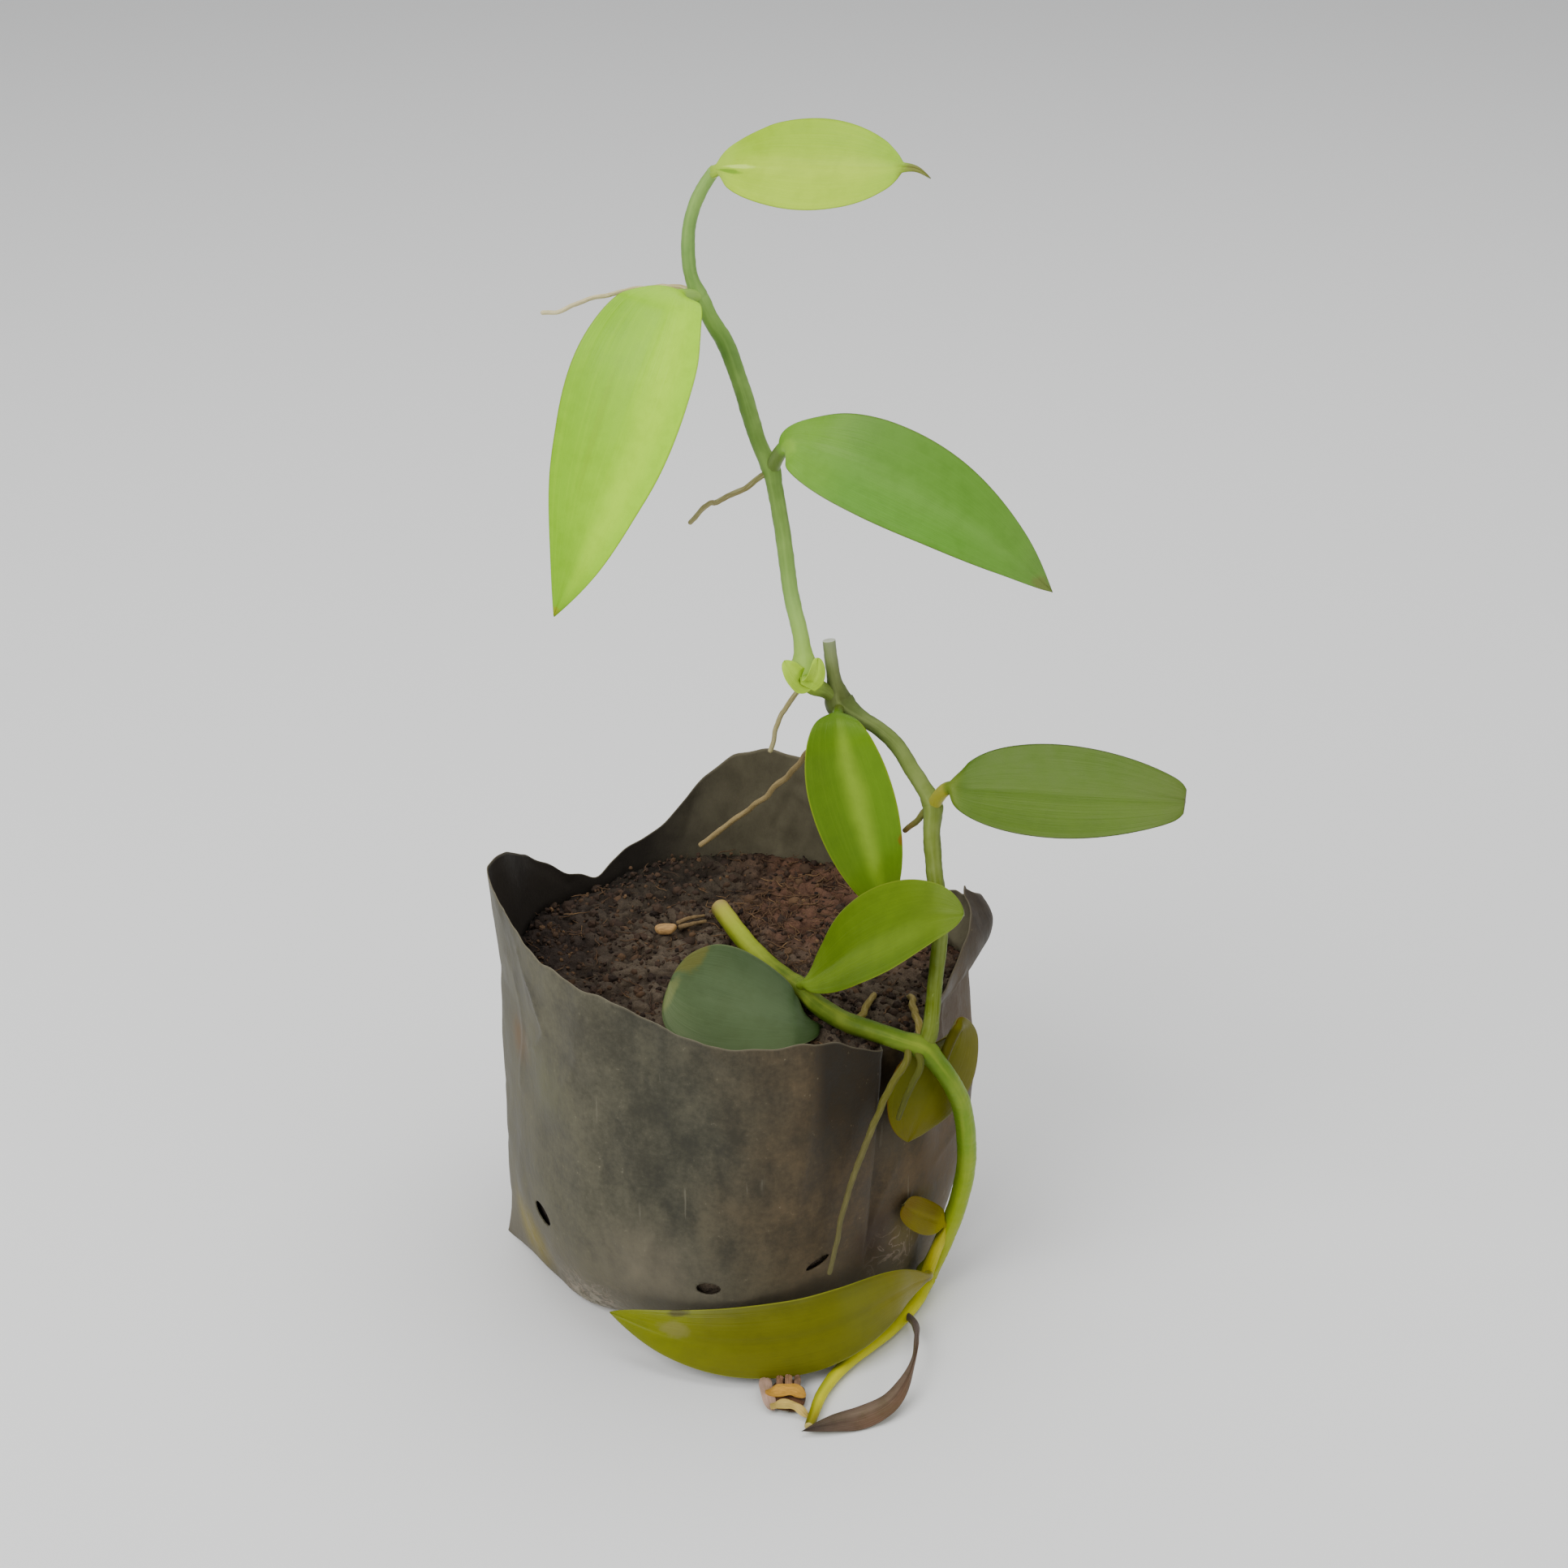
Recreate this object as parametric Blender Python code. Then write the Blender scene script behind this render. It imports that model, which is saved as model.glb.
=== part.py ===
"""Vanilla orchid growing in a filled black grow bag.

The old vine lies on the soil, bends over the rim, runs down the bag's side
and ends on the floor. A climbing stem rises from it at the rim, and a young
shoot rises from the climbing stem. Bag, soil, stems, leaves and roots are
separate solids. Sizes are in millimetres, and MM turns them into metres when
a mesh is made. Z is up, the front is towards -Y, and the origin is the
centre of the bag's underside.
"""
import math

import bmesh
import bpy
import numpy as np

MM = 0.001                    # one millimetre in metres
GAP = 0.3                     # clearance between pieces that touch

# Bag
BAG_SIDE_R = 59.8             # wall radius towards the two side creases
BAG_FRONT_R = 61.4            # wall radius at the front and the back
BAG_WALL = 1.0                # film, thicker than the real 0.1 so that it is a sound solid
BAG_LEAN = 4.0                # how far the bag leans towards +X at soil level
EAR_R = 61.0                  # where the two ends of the bottom seal stand out
EAR_TURN = 12.0               # how far the right end is pulled round to the front, in degrees
SOLE_HALF = 46.0              # half of the flat underside, front to back
SOLE_POWER = 1.15             # near 1, so the underside comes to a point at each ear
SOLE_FULLER = (325.0, 30.0, 0.45)    # azimuth, half width and how much rounder it is at the front right
CURVE_HEIGHT = 44.0           # height of the curve from underside to wall
WALL_LEVELS = (0.0, 1.0, 4.0, 10.0, 19.0, 32.0, 50.0, 69.0, 86.0)
AZIMUTHS = sorted([7.2 * step for step in range(50)] + [307.0, 311.0, 313.0])
# Height of the cut rim by azimuth: 0 is +X, 90 the back, 180 the left, 270 the front
RIM = ((10, 103.5), (25, 97.5), (38, 91.5), (55, 106), (70, 119), (80, 122.5), (92, 121),
       (102, 112), (110, 101), (123, 95.5), (134, 90.5), (143, 96), (156, 107), (172, 118),
       (190, 118), (205, 117.5), (225, 114.2), (238, 112.4), (251, 108.8), (263, 104),
       (276, 102.5), (289, 102.5), (297, 99.8), (306, 94.5), (314, 91.4), (322, 91.6),
       (335, 95), (346, 102), (356, 112))
LEFT_FLARE = 4.0              # how far the loose rim leans out at the left corner
RIGHT_FLARE = 5.0             # how far it bulges at the right corner, under the curled tip
RIGHT_BELLY = 4.4             # how far the filled bag swells at half height on the right
# Soft folds in the film: azimuth, how far out, half width in degrees
FOLDS = ((0, 3.0, 7), (180, 2.2, 7), (32, -1.8, 9), (62, 1.2, 10), (98, -1.5, 12),
         (128, -2.6, 10), (152, 1.4, 9), (205, -1.0, 8), (232, 0.8, 10), (258, -0.9, 9),
         (285, 0.9, 10), (338, -1.6, 8))
PLEAT_AZIMUTH = 311.0         # sharp edge of the long fold at the front right
PLEAT_DEPTH = 3.2
PLEAT_RUN = 11.0              # degrees in which the fold comes back to the wall
# Punched drainage holes: azimuth and height; each is mirrored on the back layer
HOLES = ((-145.5, 31.5), (-93, 26.0), (-62.5, 31.0), (-98, 15.5))
HOLE_R = 2.0

# Soil
SOIL_Z = 90.0
SOIL_INSET = BAG_WALL + 1.5 * GAP
SOIL_EDGE_DROP = 1.6          # how far the soil lies lower along the film
SOIL_RINGS = (0.92, 0.74, 0.52, 0.27)    # rings on its top, as shares of its radius

# Stems: the nodes, where leaves, roots and branches join
VINE_NODE_1 = (21.3, -19.5, 94.3)
VINE_NODE_2 = (53.6, -46.6, 92.6)
VINE_NODE_3 = (57.2, -26.0, 4.2)
CLIMB_NODE_1 = (55.7, -19.5, 148.8)
CLIMB_NODE_2 = (32.4, -3.0, 169.3)
SHOOT_FOOT = (23.2, -3.4, 178.8)
SHOOT_NODE_1 = (14.6, 7.0, 229.9)
SHOOT_NODE_2 = (-2.7, 12.0, 272.7)
SHOOT_TOP = (1.0, 7.2, 304.9)

TRAILING_ROUTE = ((0.0, 23.9, 92.9), (7.0, 7.0, 92.7), (13.9, -6.9, 93.1), VINE_NODE_1,
                  (27.0, -29.4, 94.7), (33.8, -37.6, 95.1), (41.2, -42.6, 95.2),
                  (48.1, -45.9, 94.6), VINE_NODE_2, (57.9, -46.4, 87.0), (61.5, -44.6, 80.0),
                  (64.3, -41.6, 71.3), (66.2, -37.6, 57.4), (66.4, -34.2, 45.3),
                  (64.8, -31.2, 31.9), (62.2, -29.6, 21.0), (59.2, -28.0, 10.5), VINE_NODE_3,
                  (54.6, -33.6, 2.9), (49.7, -42.6, 2.7), (44.0, -50.4, 2.6),
                  (37.2, -58.0, 2.4), (31.6, -65.6, 2.2), (27.7, -73.4, 2.0),
                  (25.6, -80.9, 1.8), (24.4, -85.4, 1.7))
CLIMBING_ROUTE = (VINE_NODE_2, (55.2, -44.6, 97.1), (55.7, -43.2, 100.6), (56.2, -40.5, 106.5),
                  (57.0, -37.5, 112.9), (57.6, -34.5, 119.8), (57.4, -31.5, 126.4),
                  (56.1, -27.5, 134.8), (55.5, -23.5, 142.1), CLIMB_NODE_1, (52.8, -16.5, 153.6),
                  (50.2, -14.5, 157.0), (46.9, -11.5, 161.5), (42.5, -9.0, 164.9),
                  (37.4, -6.0, 167.1), CLIMB_NODE_2, (31.2, -2.0, 173.4), (30.5, -1.5, 177.3),
                  (29.8, -0.6, 181.5), (29.3, 0.0, 186.0))
SHOOT_ROUTE = (CLIMB_NODE_2, (28.9, -3.4, 173.0), (25.6, -3.8, 175.2), SHOOT_FOOT,
               (22.8, -2.6, 182.8), (21.9, -1.4, 189.0), (20.0, 1.0, 196.7), (19.0, 2.6, 202.7),
               (17.4, 5.0, 215.0), (15.5, 6.5, 225.3), SHOOT_NODE_1, (11.2, 8.0, 237.7),
               (7.6, 9.0, 250.0), (3.7, 10.0, 261.2), (0.7, 10.8, 266.1), SHOOT_NODE_2,
               (-4.4, 12.0, 277.0), (-5.2, 11.8, 281.1), (-5.3, 11.4, 286.3), (-4.8, 11.0, 291.4),
               (-3.3, 10.0, 296.7), (-1.5, 9.0, 300.7), SHOOT_TOP)
NODE_SWELL = 0.22             # share by which a stem thickens at a node
NODE_LENGTH = 3.0             # half length of that thickening
FORK_SWELL = 0.75             # the climbing stem's knotted fork, below its cut stub
FORK_LENGTH = 3.6
FOOT_SWELL = 0.75             # the young shoot's swollen foot
FOOT_LENGTH = 4.0
SADDLE_REACH = 0.5            # how far a foot's rim comes down the stem that it grows from, in radii
SADDLE_STEPS = 40

# Leaves: route from the stem's axis to the tip, petiole length, blade width,
# outline powers at base and tip, upward normal at base and tip, cup depth
LEAVES = {
    "leaf_top": dict(
        route=(SHOOT_TOP, (5.4, 4.2, 307.4), (12.9, -0.5, 308.8), (22.4, -5.0, 309.5),
               (31.7, -9.0, 310.4), (41.0, -12.5, 311.3), (47.4, -15.0, 312.0), (51.4, -17.0, 310.3)),
        petiole=1.0, width=23.5, powers=(0.58, 1.0), normals=((0.0, -0.72, 0.7), (0.1, -0.8, 0.6)),
        cup=1.6, stem="young_shoot", colour=(0.47, 0.60, 0.10)),
    "leaf_left": dict(
        route=(SHOOT_NODE_2, (-5.9, 6.0, 273.8), (-9.1, 1.0, 272.6), (-13.9, -3.6, 267.6),
               (-17.8, -8.0, 258.2), (-22.4, -12.0, 245.3), (-26.9, -14.5, 233.7),
               (-32.4, -17.5, 218.0), (-38.7, -19.0, 201.3)),
        petiole=6.0, width=34.0, powers=(0.43, 0.97), normals=((-0.3, -0.75, 0.6), (-0.5, -0.85, 0.1)),
        cup=3.0, stem="young_shoot", colour=(0.36, 0.52, 0.07)),
    "leaf_right": dict(
        route=(SHOOT_NODE_1, (17.1, 3.0, 236.1), (20.1, 0.0, 239.2), (27.6, -5.0, 239.0),
               (40.4, -10.0, 235.9), (56.1, -15.0, 229.3), (71.9, -19.0, 219.0), (83.4, -22.0, 209.2)),
        petiole=8.0, width=25.5, powers=(0.55, 0.9), normals=((0.2, -0.8, 0.6), (0.45, -0.85, 0.35)),
        cup=1.8, stem="young_shoot", colour=(0.17, 0.38, 0.08)),
    "leaf_hanging": dict(
        route=(CLIMB_NODE_2, (31.4, -11.0, 169.6), (31.8, -15.0, 164.8), (33.9, -16.5, 155.0),
               (36.9, -18.0, 144.1), (40.3, -19.5, 131.7), (43.8, -21.5, 118.8)),
        petiole=4.5, width=21.8, powers=(0.36, 0.6), normals=((-0.1, -0.8, 0.6), (-0.1, -0.98, 0.15)),
        cup=1.8, stem="climbing_stem", colour=(0.17, 0.30, 0.01)),
    "leaf_side": dict(
        route=(CLIMB_NODE_1, (58.8, -24.0, 155.9), (63.5, -26.5, 157.3), (73.4, -30.0, 159.0),
               (87.0, -35.0, 160.6), (102.5, -40.0, 162.1), (115.7, -45.0, 163.6),
               (121.4, -47.0, 164.2)),
        petiole=9.0, width=24.0, powers=(0.55, 0.75), normals=((0.1, -0.72, 0.7), (0.1, -0.8, 0.6)),
        cup=1.6, stem="climbing_stem", colour=(0.15, 0.23, 0.03), cut=0.91),
    "leaf_over_soil": dict(
        route=(VINE_NODE_1, (23.6, -25.0, 98.6), (29.2, -30.0, 106.5), (37.3, -35.0, 116.4),
               (47.3, -40.0, 125.4), (55.2, -44.0, 130.8), (62.6, -47.0, 132.8)),
        petiole=4.0, width=24.0, powers=(0.8, 0.6), normals=((-0.35, -0.45, 0.8), (-0.2, -0.6, 0.8)),
        cup=2.4, stem="trailing_stem", colour=(0.14, 0.21, 0.01)),
    "leaf_rim": dict(
        route=((33.0, -17.0, 76.0), (31.0, -21.6, 80.6), (28.4, -28.4, 86.0), (25.6, -34.6, 91.6),
               (20.6, -36.4, 94.8), (13.4, -35.8, 96.8), (4.0, -34.0, 98.6), (-5.0, -31.6, 100.6),
               (-11.6, -29.4, 102.6)),
        petiole=24.0, width=31.5, powers=(0.66, 0.40), normals=((0.1, 0.2, 0.9), (-0.15, -0.7, 0.8)),
        cup=-0.6, stem=None, colour=(0.08, 0.11, 0.06)),
    "leaf_shaded": dict(
        route=((57.9, -46.4, 87.0), (60.8, -42.2, 92.4), (63.0, -38.4, 94.2), (62.0, -37.6, 88.6),
               (59.0, -39.2, 82.2), (56.2, -41.2, 76.4), (52.6, -43.6, 69.0), (50.1, -45.2, 62.8)),
        petiole=9.0, width=29.5, powers=(0.82, 0.7), normals=((0.67, -0.7, 0.3), (0.66, -0.74, 0.1)),
        cup=-1.0, stem="trailing_stem", colour=(0.07, 0.08, 0.01)),
    "leaf_ground": dict(
        route=(VINE_NODE_3, (57.0, -35.0, 10.8), (52.0, -43.6, 14.6), (46.2, -51.4, 16.6),
               (34.5, -61.0, 16.0), (20.9, -65.0, 13.6), (3.8, -65.6, 12.6), (-11.5, -62.8, 13.2),
               (-25.4, -57.4, 15.2)),
        petiole=9.0, width=20.0, powers=(0.85, 0.7), normals=((0.5, -0.8, 0.35), (-0.35, -0.85, 0.35)),
        cup=-1.2, stem="trailing_stem", colour=(0.19, 0.22, 0.005)),
    "dry_leaf": dict(
        route=((50.6, -41.0, 2.8), (53.4, -44.2, 3.8), (54.0, -49.0, 5.2), (52.9, -56.0, 6.6),
               (51.7, -65.0, 7.0), (49.6, -73.5, 6.4), (45.2, -80.2, 5.0), (38.4, -83.8, 3.6),
               (30.5, -85.4, 2.8), (22.4, -87.6, 2.0)),
        petiole=8.0, width=5.4, powers=(1.0, 0.7), normals=((0.4, -0.5, 0.75), (0.1, -0.6, 0.75)),
        cup=-0.6, stem="trailing_stem", colour=(0.20, 0.12, 0.08)),
    "dry_husk": dict(
        route=((18.5, -68.2, 2.2), (19.0, -72.2, 2.9), (19.3, -76.5, 3.0), (19.4, -81.4, 1.9)),
        petiole=0.6, width=11.0, powers=(0.3, 0.35), normals=((0.1, -0.4, 0.9), (0.1, -0.4, 0.9)),
        cup=-1.0, stem=None, colour=(0.58, 0.36, 0.13)),
    "shoot_bract": dict(
        route=(SHOOT_FOOT, (22.0, -6.8, 177.8), (20.8, -8.0, 180.2), (19.8, -7.4, 182.6),
               (18.8, -6.4, 184.6)),
        petiole=0.6, width=5.6, powers=(0.3, 0.6), normals=((0.3, -0.6, 0.6), (0.4, -0.8, 0.3)),
        cup=0.8, stem="young_shoot", colour=(0.40, 0.52, 0.10)),
    "withered_scale": dict(
        route=((63.0, -30.0, 24.6), (58.4, -33.6, 28.6), (54.0, -37.0, 33.2), (49.8, -40.0, 38.4)),
        petiole=1.6, width=8.6, powers=(0.3, 0.4), normals=((0.6, -0.7, 0.2), (0.6, -0.7, 0.2)),
        cup=0.4, stem="trailing_stem", colour=(0.18, 0.14, 0.01)),
}
PETIOLE_R = 1.35
BLADE_THICK = 1.5
EDGE_THICK = 0.7
BLADE_RINGS = 12
BLADE_ACROSS = (-1.0, -0.55, 0.0, 0.55, 1.0)

# Roots: route, radius at the start and at the end, stem they grow from
ROOTS = {
    "root_upper_left": ((SHOOT_NODE_2, (-8.0, 14.4, 275.4), (-16.9, 12.6, 276.2),
                         (-24.0, 9.6, 276.0), (-31.4, 6.4, 274.6), (-36.1, 3.0, 272.8),
                         (-40.3, 1.0, 272.4)), 0.8, 0.65, "young_shoot"),
    "root_middle": ((SHOOT_NODE_1, (7.5, 4.0, 225.6), (1.5, 3.0, 222.8), (-0.5, 2.0, 223.0),
                     (-3.2, 3.0, 220.2), (-5.6, 3.0, 217.1)), 0.8, 0.6, "young_shoot"),
    "root_short": ((SHOOT_FOOT, (21.4, -5.6, 173.6), (18.3, -6.6, 170.4), (16.2, -7.2, 166.2),
                    (14.5, -8.0, 158.5)), 0.75, 0.6, "young_shoot"),
    "root_long": ((CLIMB_NODE_2, (31.0, 2.4, 163.8), (27.2, 8.0, 153.8), (22.0, 12.0, 144.5),
                   (14.4, 15.0, 134.4), (4.4, 18.0, 124.0), (-5.0, 21.0, 114.8)),
                  0.85, 0.7, "climbing_stem"),
    "root_stub": ((CLIMB_NODE_1, (51.7, -18.5, 143.6), (49.9, -18.0, 141.6), (48.8, -17.5, 140.2)),
                  1.0, 0.7, "climbing_stem"),
    "root_wall": (((49.6, -46.2, 94.2), (49.0, -50.6, 91.4), (44.9, -52.3, 84.7), (41.4, -53.8, 75.8),
                   (37.7, -55.8, 65.8), (35.1, -57.2, 57.9), (33.0, -58.4, 49.5), (31.4, -59.2, 39.7),
                   (29.8, -59.4, 31.0)), 1.2, 0.7, "trailing_stem"),
    "root_wall_side": (((51.4, -46.6, 94.0), (52.4, -51.4, 90.6), (50.6, -52.8, 86.0),
                        (48.8, -53.4, 81.4), (47.4, -54.4, 76.6)), 1.0, 0.7, "trailing_stem"),
    "root_anchor": ((VINE_NODE_2, (52.6, -38.0, 94.0), (51.9, -27.0, 92.6), (51.6, -19.0, 90.6),
                     (50.6, -14.0, 86.0), (50.0, -12.0, 81.0)), 1.1, 0.8, "trailing_stem"),
    "root_buried": (((35.6, -39.2, 94.9), (38.6, -30.0, 92.8), (40.6, -21.5, 91.4), (42.0, -16.5, 89.0),
                     (42.4, -14.0, 83.0)), 1.0, 0.8, "trailing_stem"),
}
ROOTS_IN_SOIL = ("root_anchor", "root_buried")
ROOT_SIDES = 6
STEM_SIDES = 8
VINE_BED_RUN = 50.0           # length of the old vine that lies in the soil's bed

# Litter on the soil: a wood chip and two strands of bark
CHIP_CENTRE = (-14.7, 13.7)
CHIP_SIZE = (5.2, 3.6, 2.0)
STRANDS = (((-11.0, 16.2), (-7.6, 18.4), (-3.8, 20.2)),
           ((-11.4, 18.8), (-8.0, 21.8), (-4.4, 23.4)))
STRAND_R = 0.6


def clear_scene():
    """Remove whatever the open file holds."""
    for item in list(bpy.data.objects):
        bpy.data.objects.remove(item, do_unlink=True)


def material(name, colour, roughness):
    """A plain finish with the piece's colour."""
    finish = bpy.data.materials.new(name)
    finish.use_nodes = True
    shader = finish.node_tree.nodes["Principled BSDF"]
    shader.inputs["Base Color"].default_value = (*colour, 1.0)
    shader.inputs["Roughness"].default_value = roughness
    return finish


def unit(vectors):
    """Vectors of length one."""
    return vectors / np.linalg.norm(vectors, axis=-1, keepdims=True)


def smooth_route(points, spacing):
    """Points at even steps along a Catmull-Rom curve through the route."""
    knots = np.asarray(points, float)
    knots = np.vstack([2 * knots[0] - knots[1], knots, 2 * knots[-1] - knots[-2]])
    t = np.linspace(0.0, 1.0, 16, endpoint=False)[:, None]
    spans = []
    for a, b, c, d in zip(knots, knots[1:], knots[2:], knots[3:]):
        spans.append(0.5 * (2 * b + (c - a) * t + (2 * a - 5 * b + 4 * c - d) * t ** 2
                            + (3 * b - a - 3 * c + d) * t ** 3))
    curve = np.vstack(spans + [knots[-2:-1]])
    steps = np.linalg.norm(np.diff(curve, axis=0), axis=1)
    run = np.concatenate([[0.0], np.cumsum(steps)])
    count = max(4, int(round(run[-1] / spacing)) + 1)
    even = np.linspace(0.0, run[-1], count)
    return np.column_stack([np.interp(even, run, curve[:, k]) for k in range(3)])


def run_along(path):
    """Distance from the start to each point of a path."""
    steps = np.linalg.norm(np.diff(path, axis=0), axis=1)
    return np.concatenate([[0.0], np.cumsum(steps)])


def loft(name, rings, finish, swap=(), start=None):
    """A closed body through rings of points, with a fan on each end.

    Each four-sided patch is split in two triangles. The columns in swap are
    split along their other diagonal, so that both faces of a leaf match. The
    first fan's middle is at start where that is given.
    """
    count, around = rings.shape[:2]
    middle = rings[0].mean(axis=0) if start is None else start
    points = np.vstack([rings.reshape(-1, 3), middle, rings[-1].mean(axis=0)])
    first_end = count * around
    faces = []
    for row in range(count - 1):
        for column in range(around):
            after = (column + 1) % around
            a = row * around + column
            b = row * around + after
            c = (row + 1) * around + after
            d = (row + 1) * around + column
            if column in swap:
                faces += [(a, b, d), (b, c, d)]
            else:
                faces += [(a, b, c), (a, c, d)]
    last = (count - 1) * around
    for column in range(around):
        after = (column + 1) % around
        faces.append((first_end, after, column))
        faces.append((first_end + 1, last + column, last + after))
    return solid(name, points, faces, finish)


def solid(name, points, faces, finish):
    """An object from points in millimetres, with its faces turned outwards."""
    mesh = bpy.data.meshes.new(name)
    mesh.from_pydata((points * MM).tolist(), [], faces)
    edit = bmesh.new()
    edit.from_mesh(mesh)
    bmesh.ops.recalc_face_normals(edit, faces=edit.faces)
    edit.to_mesh(mesh)
    edit.free()
    mesh.shade_smooth()
    mesh.set_sharp_from_angle(angle=math.radians(50))
    mesh.materials.append(finish)
    item = bpy.data.objects.new(name, mesh)
    bpy.context.scene.collection.objects.link(item)
    return item


def cut(target, cutter):
    """Take one body out of another; the cutter itself isn't part of the object."""
    cutter.hide_render = True
    cutter.display_type = "WIRE"
    boolean = target.modifiers.new("cut_" + cutter.name, "BOOLEAN")
    boolean.operation = "DIFFERENCE"
    boolean.solver = "EXACT"
    boolean.object = cutter


def carried_sides(path):
    """Two directions across a path, turned as little as possible along it."""
    ahead = unit(np.gradient(path, axis=0))
    start = np.array((0.0, 0.0, 1.0)) if abs(ahead[0, 2]) < 0.8 else np.array((1.0, 0.0, 0.0))
    sides = np.zeros_like(path)
    side = start
    for index, direction in enumerate(ahead):
        side = unit(side - np.dot(side, direction) * direction)
        sides[index] = side
    return sides, np.cross(ahead, sides)


def tube_rings(path, radii, around):
    """Circles of the given radii across a path."""
    side, other = carried_sides(path)
    angle = np.linspace(0.0, 2 * np.pi, around, endpoint=False)[None, :, None]
    spread = side[:, None] * np.cos(angle) + other[:, None] * np.sin(angle)
    return path[:, None] + spread * np.asarray(radii)[:, None, None]


class Stem:
    """A stem's axis with its radius, thicker at the nodes."""

    def __init__(self, route, profile, nodes, spacing):
        self.path = smooth_route(route, spacing)
        self.run = run_along(self.path)
        share = self.run / self.run[-1]
        self.radii = np.interp(share, [p[0] for p in profile], [p[1] for p in profile])
        for node in nodes:
            self.thicken(node, NODE_SWELL, NODE_LENGTH)

    def thicken(self, place, share, length):
        """Swell the stem round a place on its axis."""
        at = self.run[self.nearest(place)]
        self.radii = self.radii * (1 + share * np.exp(-((self.run - at) / length) ** 2))

    def nearest(self, point):
        """Index of the axis point nearest to a place."""
        return int(np.argmin(np.linalg.norm(self.path - np.asarray(point), axis=1)))

    def clearance(self, points):
        """Distance from each point to the stem's skin, below zero inside it."""
        span = np.diff(self.path, axis=0)
        offset = points[:, None] - self.path[:-1]
        along = np.clip(np.sum(offset * span, axis=2) / np.sum(span ** 2, axis=1), 0, 1)
        away = np.linalg.norm(offset - along[..., None] * span, axis=2)
        skin = self.radii[:-1] + along * np.diff(self.radii)
        return np.min(away - skin, axis=1)


def seat(path, stem):
    """Shorten a path that starts on a stem's axis so that it starts at its skin."""
    clear = stem.clearance(path)
    run = run_along(path)
    first = int(np.argmax(clear > GAP))
    share = (GAP - clear[first - 1]) / (clear[first] - clear[first - 1])
    start = run[first - 1] + share * (run[first] - run[first - 1])
    even = np.linspace(start, run[-1], len(path))
    return np.column_stack([np.interp(even, run, path[:, k]) for k in range(3)])


def saddle(ring, heading, stem):
    """Fit a ring to a stem's skin: set it back, then slide its points out until they are clear."""
    half = np.linalg.norm(ring - ring.mean(axis=0), axis=1).mean()
    ring = ring - SADDLE_REACH * half * heading
    for _ in range(SADDLE_STEPS):
        short = np.clip(GAP - stem.clearance(ring), 0, None)
        ring = ring + short[:, None] * heading
    return ring


def ring_value(table, azimuth):
    """Smooth value round the bag through a table of azimuth and value."""
    at = np.array([row[0] for row in table], float)
    value = np.array([row[1] for row in table], float)
    at = np.concatenate([at[-2:] - 360, at, at[:2] + 360])
    value = np.concatenate([value[-2:], value, value[:2]])
    slope = np.gradient(value, at)
    azimuth = np.mod(azimuth - at[2], 360) + at[2]
    index = np.clip(np.searchsorted(at, azimuth, side="right") - 1, 0, len(at) - 2)
    span = at[index + 1] - at[index]
    t = (azimuth - at[index]) / span
    return ((2 * t ** 3 - 3 * t ** 2 + 1) * value[index] + (t ** 3 - 2 * t ** 2 + t) * span * slope[index]
            + (3 * t ** 2 - 2 * t ** 3) * value[index + 1] + (t ** 3 - t ** 2) * span * slope[index + 1])


def turn_from(azimuth, centre):
    """Signed angle in degrees from a centre azimuth."""
    return np.mod(azimuth - centre + 180.0, 360.0) - 180.0


def bag_radius(azimuth, level):
    """Outer radius of the bag about its leaning axis.

    A pointed underside swells to a round wall within CURVE_HEIGHT. Folds are
    bell-shaped bumps, the pleat is a saw tooth, and the loose rim flares.
    """
    angle = np.radians(azimuth)
    pulled = angle + math.radians(EAR_TURN) * np.cos(angle / 2) ** 4
    centre, half, share = SOLE_FULLER
    power = SOLE_POWER + share * np.exp(-(turn_from(azimuth, centre) / half) ** 2)
    sole = (np.abs(np.cos(pulled) / EAR_R) ** power
            + np.abs(np.sin(pulled) / SOLE_HALF) ** power) ** (-1 / power)
    wall = BAG_SIDE_R + (BAG_FRONT_R - BAG_SIDE_R) * np.sin(angle) ** 2
    wall = wall + 1.2 * np.clip(level / SOIL_Z, 0, 1)
    rise = np.clip(level / CURVE_HEIGHT, 0, 1)
    radius = sole + (wall - sole) * np.sqrt(1 - (1 - rise) ** 2)
    height = np.clip((level - 8.0) / 60.0, 0, 1)
    for centre, depth, half in FOLDS:
        radius = radius + depth * height * np.exp(-(turn_from(azimuth, centre) / half) ** 2)
    past = turn_from(azimuth, PLEAT_AZIMUTH)
    tooth = np.where(past >= 0, np.exp(-past / PLEAT_RUN), np.clip(1 + past / 2.0, 0, 1))
    radius = radius - PLEAT_DEPTH * tooth * np.clip((level - 14.0) / 20.0, 0, 1)
    loose = np.clip((level - SOIL_Z) / 30.0, 0, 1.2)
    left = LEFT_FLARE * loose * np.clip(-np.cos(angle), 0, 1) ** 2
    bulge = np.sin(np.pi * np.clip(loose / 0.8, 0, 1))
    right = np.clip(np.cos(angle), 0, 1) ** 2
    belly = RIGHT_BELLY * np.sin(np.pi * np.clip(level / SOIL_Z, 0, 1))
    return radius + left + RIGHT_FLARE * bulge * right ** 2 + belly * right ** 3


def bag_point(azimuth, level, inset):
    """Points of the bag's wall, a given depth inside its outer face."""
    radius = bag_radius(azimuth, level) - inset
    angle = np.radians(azimuth)
    lean = BAG_LEAN * np.clip(level / SOIL_Z, 0, 1.4)
    return np.stack([radius * np.cos(angle) + lean, radius * np.sin(angle), level], axis=-1)


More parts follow.
